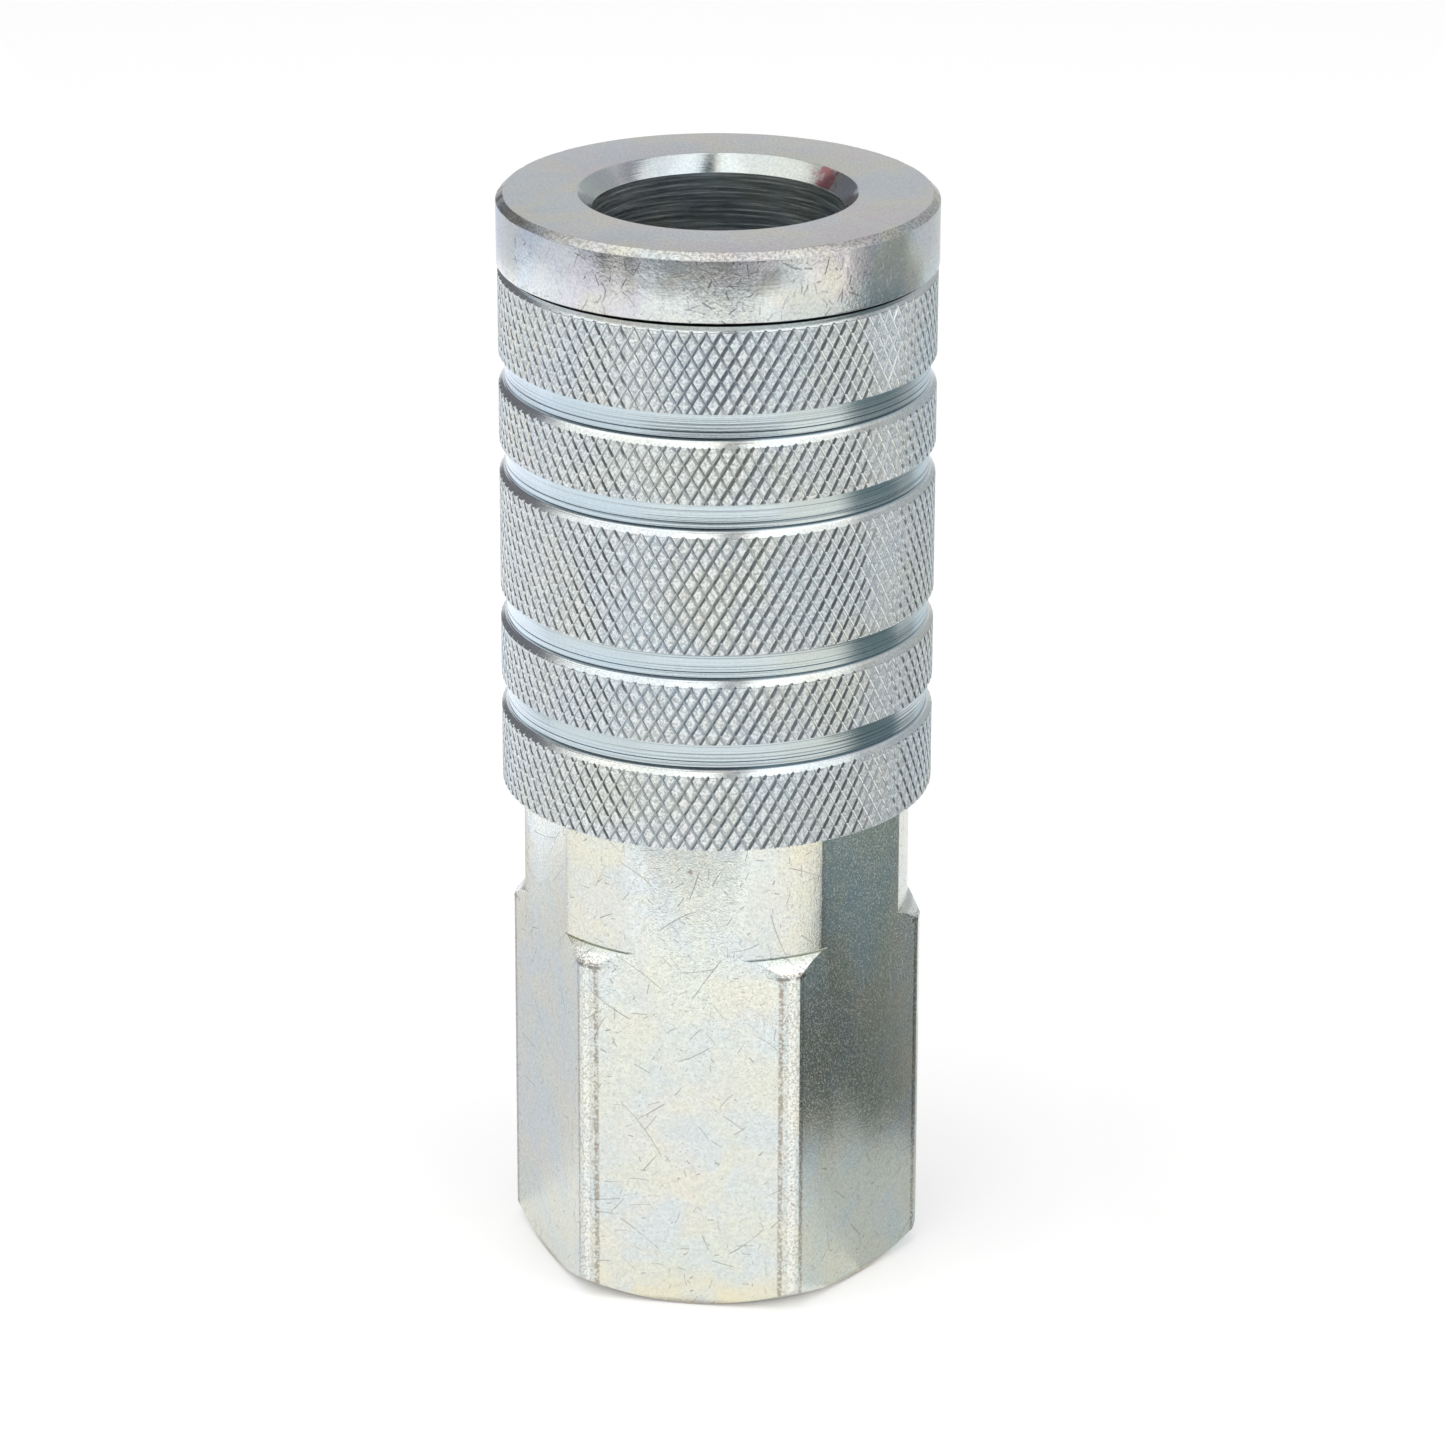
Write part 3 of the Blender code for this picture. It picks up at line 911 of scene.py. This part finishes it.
def plated(name, tints, roughness):
    """The base of every zinc-plated finish: soft clouds of tint, a fine mottle and uneven gloss.

    Each tint is (colour, size of its clouds in mm, how much of the surface it covers, strength).
    """
    zinc = Shader(name, CLEAR, 1.0, roughness)
    for i, (tint, size, cover, strength) in enumerate(tints):
        place = zinc.shift(zinc.place, 17.0 * (i + 1))
        cloud = zinc.noise(place, 1 / size, detail=5.0, distortion=0.4, roughness=0.55)
        middle = 0.62 - 0.24 * cover
        zinc.coat(zinc.step(cloud, middle - 0.09, middle + 0.09, 0.0, strength), tint)
    mottle = zinc.noise(zinc.place, 4.0, detail=4.0, roughness=0.7)
    zinc.tone(zinc.grey(zinc.step(mottle, 0.3, 0.7, 0.86, 1.08)))
    return zinc


def body_dirt(zinc):
    """Straw at the foot, scratches, specks, smudges and rust near the sleeve. Returns the scratches."""
    place = zinc.place
    foot = zinc.step(zinc.z, 0.2, 5.0, 0.75, 0.0)
    cloudy = zinc.step(zinc.noise(place, 0.3, detail=4.0), 0.35, 0.6)
    front = zinc.step(zinc.y, -15.8, -14.0, 1.0, 0.2)
    zinc.coat(zinc.times(foot, cloudy, front), DEEP_STRAW)
    marks = zinc.all_scratches(zinc.wrapped(16.5), BODY_SCRATCHES)
    marks = zinc.times(marks, zinc.step(zinc.noise(place, 0.22, detail=3.0), 0.35, 0.6, 0.4, 1.0))
    zinc.coat(zinc.times(marks, 0.6), SCRATCH_BROWN)
    zinc.coat(zinc.step(zinc.noise(place, 2.6, detail=3.0), 0.68, 0.74, 0.0, 0.35), SPECK_BROWN)
    smudge = zinc.noise(zinc.shift(place, 31.0), 0.8, detail=5.0, distortion=1.2, roughness=0.65)
    zinc.coat(zinc.step(smudge, 0.6, 0.74, 0.0, 0.4), SMUDGE_GREY)
    rust = zinc.step(zinc.noise(place, 0.85, detail=3.0), 0.7, 0.76, 0.0, 0.6)
    zinc.coat(zinc.times(rust, zinc.step(zinc.z, 33.0, 42.0)), RUST_BROWN)
    return marks


def body_corners(zinc, speckle):
    """Worn corner lands with dark wear, painted highlights on the cones under the shoulder and along the
    middle of each corner land, painted shadow lines below the cones, brown on the corner edges, and painted
    contact shade round the foot. Returns the worn part.
    """
    radius = zinc.radius()
    on_cone = zinc.band(zinc.z, HEX_SHOULDER - 1.5, HEX_SHOULDER - 0.55, 0.1)
    corner = zinc.math("MAXIMUM", zinc.step(radius, HEX_CORNER - 0.23, HEX_CORNER - 0.13), on_cone)
    corner = zinc.times(corner, zinc.step(radius, 17.2, 17.3))
    # Painted highlight: the level part of the cones under the shoulder is coated near white.
    zinc.coat(zinc.times(on_cone, zinc.step(zinc.slope(), 0.2, 0.35)), CONE_HIGHLIGHT_WHITE)
    zinc.coat(zinc.times(corner, zinc.step(speckle, 0.48, 0.62), 0.45), WORN_DARK)
    # Painted shadow: a dark line along the foot of the cones, where they meet the corners.
    shadow_line = zinc.band(zinc.z, HEX_SHOULDER - 1.6, HEX_SHOULDER - 1.4, 0.1)
    zinc.coat(zinc.times(shadow_line, zinc.step(radius, 17.5, 17.7), 0.8), SHADOW_LINE_DARK)
    edge = zinc.band(radius, HEX_CORNER - 0.21, HEX_CORNER - 0.11, 0.08)
    zinc.coat(zinc.times(edge, zinc.step(speckle, 0.4, 0.55, 0.15, 0.75)), EDGE_BROWN)
    # Painted highlight: a broken pale strip down the middle of each corner land.
    sixth_turns = zinc.times(zinc.math("ARCTAN2", zinc.y, zinc.x), 6.0)
    ridge_highlight = zinc.step(zinc.math("COSINE", sixth_turns), 0.991, 0.998)
    ridge_highlight = zinc.times(ridge_highlight, zinc.step(radius, 17.6, 17.7))
    zinc.coat(zinc.times(ridge_highlight, zinc.step(speckle, 0.42, 0.6, 0.75, 0.15)), RIDGE_HIGHLIGHT_WHITE)
    # Painted shade: the lowest part of the foot is coated dark brown as contact shade against the floor,
    # broken by speckle.
    rim = zinc.step(zinc.z, 0.1, 0.7, 0.7, 0.0)
    zinc.coat(zinc.times(rim, zinc.step(speckle, 0.3, 0.5, 0.5, 1.0)), FOOT_SHADE_BROWN)
    return corner


def body_zinc():
    tints = ((BLUE, 6.0, 0.5, 0.55), (STRAW, 5.0, 0.5, 0.5), (GREEN, 9.0, 0.45, 0.3))
    zinc = plated("zinc_body", tints, 0.23)
    marks = body_dirt(zinc)
    speckle = zinc.noise(zinc.place, 4.5, detail=3.0)
    corner = body_corners(zinc, speckle)
    zinc.tone((1.02, 1.02, 1.02, 1))
    zinc.bump(zinc.noise(zinc.place, 6.5, detail=2.0), 0.03, 0.6)
    zinc.bump(zinc.step(zinc.noise(zinc.place, 6.0, detail=2.0), 0.56, 0.7), 0.013, 0.8)
    zinc.bump(zinc.times(speckle, corner), 0.06, 0.6)
    zinc.bump(zinc.noise(zinc.place, 0.35, detail=3.0), 0.05, 0.5)
    zinc.bump(zinc.minus(1.0, marks), 0.025, 0.8)
    return zinc.material


def ring_zinc():
    """Bright plate with knocks on its front, a worn rim, and a darker bore under an oily film."""
    tints = ((ROSE, 8.0, 0.5, 0.7), (BLUE, 9.0, 0.5, 0.6), (STRAW, 6.0, 0.35, 0.6))
    zinc = plated("zinc_ring", tints, 0.22)
    place, radius, slope = zinc.place, zinc.radius(), zinc.slope()
    upright = zinc.step(slope, 0.1, 0.4, 1.0, 0.0)
    slant = zinc.times(zinc.step(slope, 0.3, 0.5), zinc.step(slope, 0.88, 0.96, 1.0, 0.0))
    rim = zinc.times(slant, zinc.step(radius, 17.9, 18.1))
    inside = zinc.step(radius, 11.9, 12.1, 1.0, 0.0)
    outside = zinc.times(upright, zinc.minus(1.0, inside))

    # The front of the ring has been struck most.
    struck = zinc.plus(zinc.times(zinc.y, -0.016), zinc.times(zinc.x, 0.003))
    patch = zinc.plus(zinc.noise(place, 0.15, detail=3.0), struck)
    patch = zinc.times(zinc.step(patch, 0.66, 0.82), outside)
    knocks = zinc.all_scratches(zinc.wrapped(18.7), RING_KNOCKS)
    marks = zinc.times(knocks, zinc.plus(patch, zinc.times(outside, 0.15)))
    zinc.coat(zinc.times(marks, 0.6), KNOCK_GREY)
    pits = zinc.step(zinc.noise(place, 3.8, detail=3.0), 0.52, 0.68)
    zinc.coat(zinc.times(pits, patch, 0.5), PIT_GREY)
    speckle = zinc.noise(place, 3.4, detail=4.0, roughness=0.65)
    zinc.coat(zinc.times(rim, zinc.step(speckle, 0.47, 0.56), 0.45), RIM_BROWN)
    zinc.tone((0.87, 0.88, 0.90, 1))
    zinc.coat(zinc.times(inside, 0.3), BORE_TEAL)

    # A reddish stain on one side of the lead-in.
    beside, behind = (zinc.minus(axis, at) for axis, at in zip((zinc.x, zinc.y), STAIN_PLACE))
    ragged = zinc.times(zinc.noise(place, 1.4, detail=4.0), 5.0)
    stain = zinc.step(zinc.plus(zinc.length(beside, behind), ragged), 2.9, 4.5, 0.75, 0.0)
    zinc.coat(zinc.times(stain, slant, inside), STAIN_RED)

    round_bore = zinc.vector("MULTIPLY", zinc.wrapped(10.6), (0.12, 4.0, 1.0))
    streaks = zinc.noise(round_bore, 1.0, detail=4.0, roughness=0.7)
    film = zinc.times(inside, upright, zinc.step(streaks, 0.4, 0.72, 0.0, 0.36))
    zinc.put(zinc.surface.inputs["Metallic"], zinc.minus(1.0, film))
    zinc.roughness(zinc.minus(0.22, zinc.times(inside, 0.07)))

    turning = zinc.lines(zinc.plus(radius, zinc.z), 5.0)
    zinc.bump(zinc.times(turning, zinc.plus(0.3, zinc.times(inside, 0.6))), 0.016, 0.6)
    dents = zinc.times(zinc.noise(place, 3.2, detail=4.0, roughness=0.6), patch)
    zinc.bump(dents, 0.07, 0.8)
    zinc.bump(zinc.times(speckle, rim), 0.06, 0.7)
    zinc.bump(zinc.minus(1.0, marks), 0.09, 0.9)
    return zinc.material


def sleeve_zinc():
    """Grainy knurl crests over smooth cuts that turn greyer deeper in, and bluish groove floors with fine
    turned lines whose darkness is painted shade, faint at the left and strong towards the right.
    """
    tints = ((BLUE, 9.0, 0.5, 0.35), (STRAW, 8.0, 0.4, 0.3))
    zinc = plated("zinc_sleeve", tints, 0.3)
    radius = zinc.radius()
    crest = zinc.step(radius, 18.61, 18.632)
    turned_part = zinc.step(radius, 18.2, 18.3, 1.0, 0.0)
    floor = zinc.step(radius, 18.13, 18.2, 1.0, 0.0)
    grain = zinc.noise(zinc.place, 4.2, detail=4.0, roughness=0.65)
    grainy = zinc.grey(zinc.step(grain, 0.38, 0.62, 0.82, 1.55))
    zinc.tone(zinc.mix(crest, (1, 1, 1, 1), grainy))
    zinc.tone((0.97, 1.0, 1.06, 1))
    # The upright walls of the knurl cuts are coated darker grey the deeper they lie.
    in_cut = zinc.times(zinc.step(radius, 18.49, 18.6, 0.34, 0.0), zinc.step(radius, 18.3, 18.4))
    zinc.coat(zinc.times(in_cut, zinc.step(zinc.slope(), 0.4, 0.5, 1.0, 0.0)), CUT_DEPTH_GREY)
    zinc.coat(zinc.times(floor, 0.75), GROOVE_BLUE)
    turning = zinc.lines(zinc.z, 5.0)
    thin = zinc.times(floor, zinc.step(turning, 0.52, 0.62))
    # The turning lines are real, but their darkness is painted shade: faint at the left and dark towards the
    # right.
    zinc.coat(zinc.times(thin, zinc.step(zinc.x, -13.0, 2.0, 0.1, 0.65)), TURNING_LINE_SHADE_BLUE)
    zinc.roughness(zinc.plus(0.2, zinc.times(crest, 0.14)))
    zinc.bump(zinc.times(grain, crest), 0.2, 1.0)
    zinc.bump(zinc.times(turning, turned_part), 0.035, 0.8)
    return zinc.material


def turned_metal(name, color, roughness, turning=0.01):
    """Machined metal: fine lines along Z and a faint uneven gloss."""
    shader = Shader(name, color, 1.0, roughness)
    tone = shader.step(shader.noise(shader.place, 1.5, detail=4.0), 0.3, 0.7, 0.85, 1.08)
    shader.tone(shader.grey(tone))
    uneven = shader.noise(shader.place, 0.8, detail=4.0)
    shader.roughness(shader.step(uneven, 0.3, 0.7, roughness - 0.04, roughness + 0.1))
    shader.bump(shader.lines(shader.plus(shader.z, shader.radius()), 7.0), turning, 0.5)
    return shader.material


def moulded(name, color, roughness):
    """Rubber or plastic: a soft mottle and a fine grain."""
    shader = Shader(name, color, 0.0, roughness)
    tone = shader.step(shader.noise(shader.place, 1.2, detail=3.0), 0.3, 0.7, 0.8, 1.2)
    shader.tone(shader.grey(tone))
    grain = shader.noise(shader.place, 14.0, detail=2.0)
    shader.roughness(shader.step(grain, 0.3, 0.7, roughness - 0.08, roughness + 0.08))
    shader.bump(grain, 0.01, 0.5)
    return shader.material


# ---------------------------------------------------------------- stage, lights and camera

# The camera stands turned from the front flat's normal, at the height that shows the ring's face.
CAMERA_AZIMUTH = 8.6
CAMERA_ELEVATION = 21.07
CAMERA_DISTANCE = 516.3
CAMERA_AIM_HEIGHT = 48.4
CAMERA_AIM_SIDE = 0.49
CAMERA_ROLL = 0.16
CAMERA_LENS = 147.96
FLOOR_SIDE = 3000
FLOOR_DROP = 0.05
FLOOR_GLOW = 0.2
SKY_STRENGTH = 0.70
LIGHT_DISTANCE = 900
CARD_HEIGHT = 0.2
SIDE_CARD_HEIGHT = 0.4
CARD_DISTANCE = 650

# Compass sectors, in degrees to the right of the camera.
BACK_LEFT = (-165, -100)
LEFT = (-100, -38)
FRONT = (-38, 34)
FRONT_RIGHT = (34, 70)
RIGHT_EDGE = (70, 76)
RIGHT = (76, 113)
DOME = (38, 84)

# How far from the coupler the floor lies that each height of it mirrors, in millimetres.
RELIEF_NEAR, RELIEF_FAR = 90, 135
SLEEVE_FAR = 296
FLOOR_FAR = 900

# What the hex's right face mirrors: the pale floor near the foot, then a dark stretch.
SIDE_CARDS = (
    ("foot", (10, -45, 9), (35, -45, 13), (0.58, 0.62, 0.63)),
    ("foot_front", (10, 9, 16), (35, 13, 30), (0.76, 0.79, 0.77)),
    ("fade", (35, -30, 28), (38, -30, 28), (0.34, 0.36, 0.36)),
    ("dark", (38, -4, 30), (92, -12, 44), (0.10, 0.115, 0.115)),
    ("dark_back", (38, -30, -4), (92, -50, -12), (0.30, 0.31, 0.30)),
)
# The floor as the relief, the sleeve and the ring mirror it: near, then farther out.
FLOOR_CARDS = (
    ("right_middle", 82, 220, RIGHT, (0.16, 0.23, 0.25)),
    ("right_far", 220, FLOOR_FAR, RIGHT, (0.34, 0.38, 0.39)),
    ("right_edge", 100, FLOOR_FAR, RIGHT_EDGE, (0.62, 0.64, 0.62)),
    ("far_right", RELIEF_FAR, SLEEVE_FAR, (113, 131), (0.42, 0.45, 0.46)),
    ("limb", RELIEF_FAR, SLEEVE_FAR, (131, 165), (0.78, 0.86, 0.90)),
    ("far_right_far", SLEEVE_FAR, FLOOR_FAR, (113, 165), (0.72, 0.75, 0.78)),
    ("right_warm_near", RELIEF_NEAR, RELIEF_FAR, FRONT_RIGHT, (1.24, 1.19, 1.04)),
    ("right_warm", RELIEF_FAR, SLEEVE_FAR, FRONT_RIGHT, (1.15, 1.13, 1.05)),
    ("right_warm_far", SLEEVE_FAR, FLOOR_FAR, FRONT_RIGHT, (1.45, 1.43, 1.36)),
    ("front_near", 102, RELIEF_FAR, (-38, 16), (1.30, 1.31, 1.29)),
    ("front_near_warm", 102, RELIEF_FAR, (16, 34), (1.38, 1.32, 1.18)),
    ("front_low", RELIEF_FAR, 165, FRONT, (1.40, 1.41, 1.41)),
    ("front_middle", 165, 192, FRONT, (1.14, 1.16, 1.17)),
    ("front_high", 192, 235, FRONT, (1.42, 1.44, 1.46)),
    ("front_bright", 235, 276, FRONT, (2.00, 2.03, 2.05)),
    ("front_far", 276, FLOOR_FAR, FRONT, (0.24, 0.25, 0.26)),
    ("left_warm_near", RELIEF_NEAR, RELIEF_FAR, LEFT, (1.13, 1.10, 1.03)),
    ("left_cool", RELIEF_FAR, SLEEVE_FAR, LEFT, (1.24, 1.29, 1.36)),
    ("left_cool_far", SLEEVE_FAR, FLOOR_FAR, LEFT, (0.93, 0.97, 1.06)),
    ("left_near", 16, 95, BACK_LEFT, (0.78, 0.79, 0.83)),
    ("left_relief", 95, RELIEF_FAR, BACK_LEFT, (0.82, 0.81, 0.81)),
    ("left_middle", RELIEF_FAR, SLEEVE_FAR, BACK_LEFT, (1.36, 1.39, 1.48)),
    ("left_far", SLEEVE_FAR, FLOOR_FAR, BACK_LEFT, (0.79, 0.83, 0.94)),
)
# Low cards, which the ring's face mirrors, and a high dome for the chamfers and the lead-in.
WALL_CARDS = (
    ("front", (-14, 17), (0, 30), (0.12, 0.12, 0.13)),
    ("front_left", (-45, -14), (0, 30), (0.24, 0.25, 0.27)),
    ("left", (-100, -45), (0, 20), (0.13, 0.14, 0.16)),
    ("right", (17, 112), (0, 19), (0.60, 0.63, 0.68)),
    ("back_left", (-160, -105), (0, 34), (0.20, 0.20, 0.22)),
    ("back_right", (112, 160), (0, 38), (0.52, 0.55, 0.56)),
    ("back", (160, 200), (6, 36), (0.69, 0.69, 0.71)),
    ("left_dome", (-108, -34), DOME, (1.30, 1.30, 1.28)),
    ("middle_dome", (-34, 4), DOME, (1.60, 1.60, 1.57)),
    ("gap", (4, 22), (50, 80), (0.03, 0.03, 0.05)),
    ("middle_right_dome", (22, 62), DOME, (1.60, 1.60, 1.57)),
    ("left_glint", (-98, -68), (26, 38), (1.60, 1.60, 1.56)),
    ("right_dome", (62, 95), DOME, (1.30, 1.30, 1.26)),
    ("right_fade", (95, 112), DOME, (0.45, 0.46, 0.48)),
)


def plain(name, color, roughness):
    material = bpy.data.materials.new(name)
    material.use_nodes = True
    surface = material.node_tree.nodes["Principled BSDF"]
    surface.inputs["Base Color"].default_value = (*color, 1)
    surface.inputs["Roughness"].default_value = roughness
    return material


def floor():
    """A pale floor with a faint glow of its own, just under the coupler."""
    side = FLOOR_SIDE / 2
    corners = [(-side, -side, 0), (side, -side, 0), (side, side, 0), (-side, side, 0)]
    ground = add_object("floor", mesh_from("floor", corners, [[0, 1, 2, 3]]))
    pale = plain("floor", (0.9, 0.9, 0.9), 0.7)
    surface = pale.node_tree.nodes["Principled BSDF"]
    surface.inputs["Emission Color"].default_value = (1, 1, 1, 1)
    surface.inputs["Emission Strength"].default_value = FLOOR_GLOW
    ground.data.materials.append(pale)
    ground.location.z = -FLOOR_DROP * MM


def glow_material(name, color):
    """Gives off an even light of the given radiance."""
    material = plain(name, (0, 0, 0), 0.5)
    surface = material.node_tree.nodes["Principled BSDF"]
    surface.inputs["Specular IOR Level"].default_value = 0
    surface.inputs["Emission Color"].default_value = (*color, 1)
    surface.inputs["Emission Strength"].default_value = 1
    return material


def toward(side, elevation):
    """The direction of a compass angle counted from the camera, to the right, and a height angle."""
    turn, rise = math.radians(CAMERA_AZIMUTH - 90 + side), math.radians(elevation)
    return Vector((math.cos(turn) * math.cos(rise), math.sin(turn) * math.cos(rise), math.sin(rise)))


def mirrored_only(name, corners, color):
    """A card that the metal mirrors, and that neither the camera sees nor the floor is lit by."""
    name += "_card"
    card = add_object(name, mesh_from(name, corners, [[0, 1, 2, 3]]))
    card.data.materials.append(glow_material(name, color))
    card.visible_camera = False
    card.visible_diffuse = False
    card.visible_shadow = False


def side_card(name, near, far, color):
    """A card on the floor. Each end is (distance to the right, how far back, how far forward)."""
    ends = ((near[0], near[1]), (near[0], near[2]), (far[0], far[2]), (far[0], far[1]))
    forward, right = toward(0, 0), toward(90, 0)
    height = Vector((0, 0, SIDE_CARD_HEIGHT))
    mirrored_only(name, [right * aside + forward * ahead + height for aside, ahead in ends], color)


def floor_card(name, near, far, sides, color):
    """A wedge on the floor between two distances and two compass angles."""
    height = Vector((0, 0, CARD_HEIGHT))
    places = ((near, sides[0]), (near, sides[1]), (far, sides[1]), (far, sides[0]))
    mirrored_only(name, [toward(side, 0) * distance + height for distance, side in places], color)


def wall_card(name, sides, elevations, color):
    """A card round the coupler between two compass angles and two height angles."""
    middle = Vector((0, 0, CAMERA_AIM_HEIGHT))
    places = ((sides[0], 0), (sides[1], 0), (sides[1], 1), (sides[0], 1))
    corners = [middle + toward(side, elevations[end]) * CARD_DISTANCE for side, end in places]
    mirrored_only(name, corners, color)


def softbox(name, side, elevation, size, radiance):
    """A square light that faces the coupler."""
    data = bpy.data.lights.new(name, "AREA")
    data.size = size * MM
    data.energy = radiance * math.pi * data.size**2
    light = bpy.data.objects.new(name, data)
    bpy.context.scene.collection.objects.link(light)
    away = toward(side, elevation)
    light.location = (Vector((0, 0, CAMERA_AIM_HEIGHT)) + away * LIGHT_DISTANCE) * MM
    light.rotation_euler = (-away).to_track_quat("-Z", "Y").to_euler()
    light.visible_camera = False


def studio():
    floor()
    world = bpy.data.worlds.new("studio")
    bpy.context.scene.world = world
    world.use_nodes = True
    sky = world.node_tree.nodes["Background"]
    sky.inputs["Color"].default_value = (1.0, 0.99, 0.99, 1)
    sky.inputs["Strength"].default_value = SKY_STRENGTH
    softbox("left_softbox", -48, 58, 900, 1.15)
    softbox("right_softbox", 52, 27, 850, 1.05)
    for make, cards in ((side_card, SIDE_CARDS), (floor_card, FLOOR_CARDS), (wall_card, WALL_CARDS)):
        for card in cards:
            make(*card)


def camera():
    data = bpy.data.cameras.new("camera")
    data.lens = CAMERA_LENS
    data.sensor_width = 36
    data.clip_start = 0.01
    data.clip_end = 20
    obj = bpy.data.objects.new("camera", data)
    bpy.context.scene.collection.objects.link(obj)
    azimuth, elevation = math.radians(CAMERA_AZIMUTH), math.radians(CAMERA_ELEVATION)
    right = Vector((math.cos(azimuth), math.sin(azimuth), 0))
    back = Vector((
        math.sin(azimuth) * math.cos(elevation),
        -math.cos(azimuth) * math.cos(elevation),
        math.sin(elevation),
    ))
    aim = Vector((0, 0, CAMERA_AIM_HEIGHT)) + CAMERA_AIM_SIDE * right
    obj.location = (aim + back * CAMERA_DISTANCE) * MM
    roll = Matrix.Rotation(math.radians(CAMERA_ROLL), 4, "Z")
    turn = (-back).to_track_quat("-Z", "Y").to_matrix().to_4x4() @ roll
    obj.rotation_euler = turn.to_euler()
    bpy.context.scene.camera = obj


def build():
    camera()
    studio()
    view = bpy.context.scene.view_settings
    view.view_transform = "Standard"

    lock_sleeve(sleeve_zinc())
    front_socket(ring_zinc())
    hex_body(body_zinc())
    lock_balls(turned_metal("ball_steel", (0.62, 0.62, 0.62), 0.12, turning=0.0))
    steel = turned_metal("machined_steel", (0.55, 0.55, 0.54), 0.28)
    wire = turned_metal("spring_steel", (0.42, 0.41, 0.39), 0.28)
    rubber = moulded("black_rubber", (0.02, 0.02, 0.02), 0.5)
    ptfe = moulded("white_ptfe", (0.82, 0.82, 0.78), 0.45)
    flat_ring(
        "spring_washer", "spring_washer_flat", 14.5, 16.7, 0.15, "sleeve_carrier", "machined_steel", steel
    )
    flat_ring("backup_ring", "backup_ring_flat", 10.8, 12.85, 0.08, "socket_body", "white_plastic", ptfe)
    round_seal("plug_oring", "plug_oring_round", "socket_body", rubber)
    round_seal("body_oring", "body_oring_round", "socket_body", rubber)
    round_seal("poppet_seal", "poppet_seal_round", "poppet", rubber)
    valve_guide(turned_metal("brass", (0.72, 0.52, 0.24), 0.26))
    valve_poppet(steel)
    poppet_nose(steel)
    coil_spring("sleeve_spring", "sleeve_spring_coil", 1.8, 6, wire)
    coil_spring("valve_spring", "valve_spring_coil", 1.1, 7, wire)


build()
bpy.context.view_layer.update()
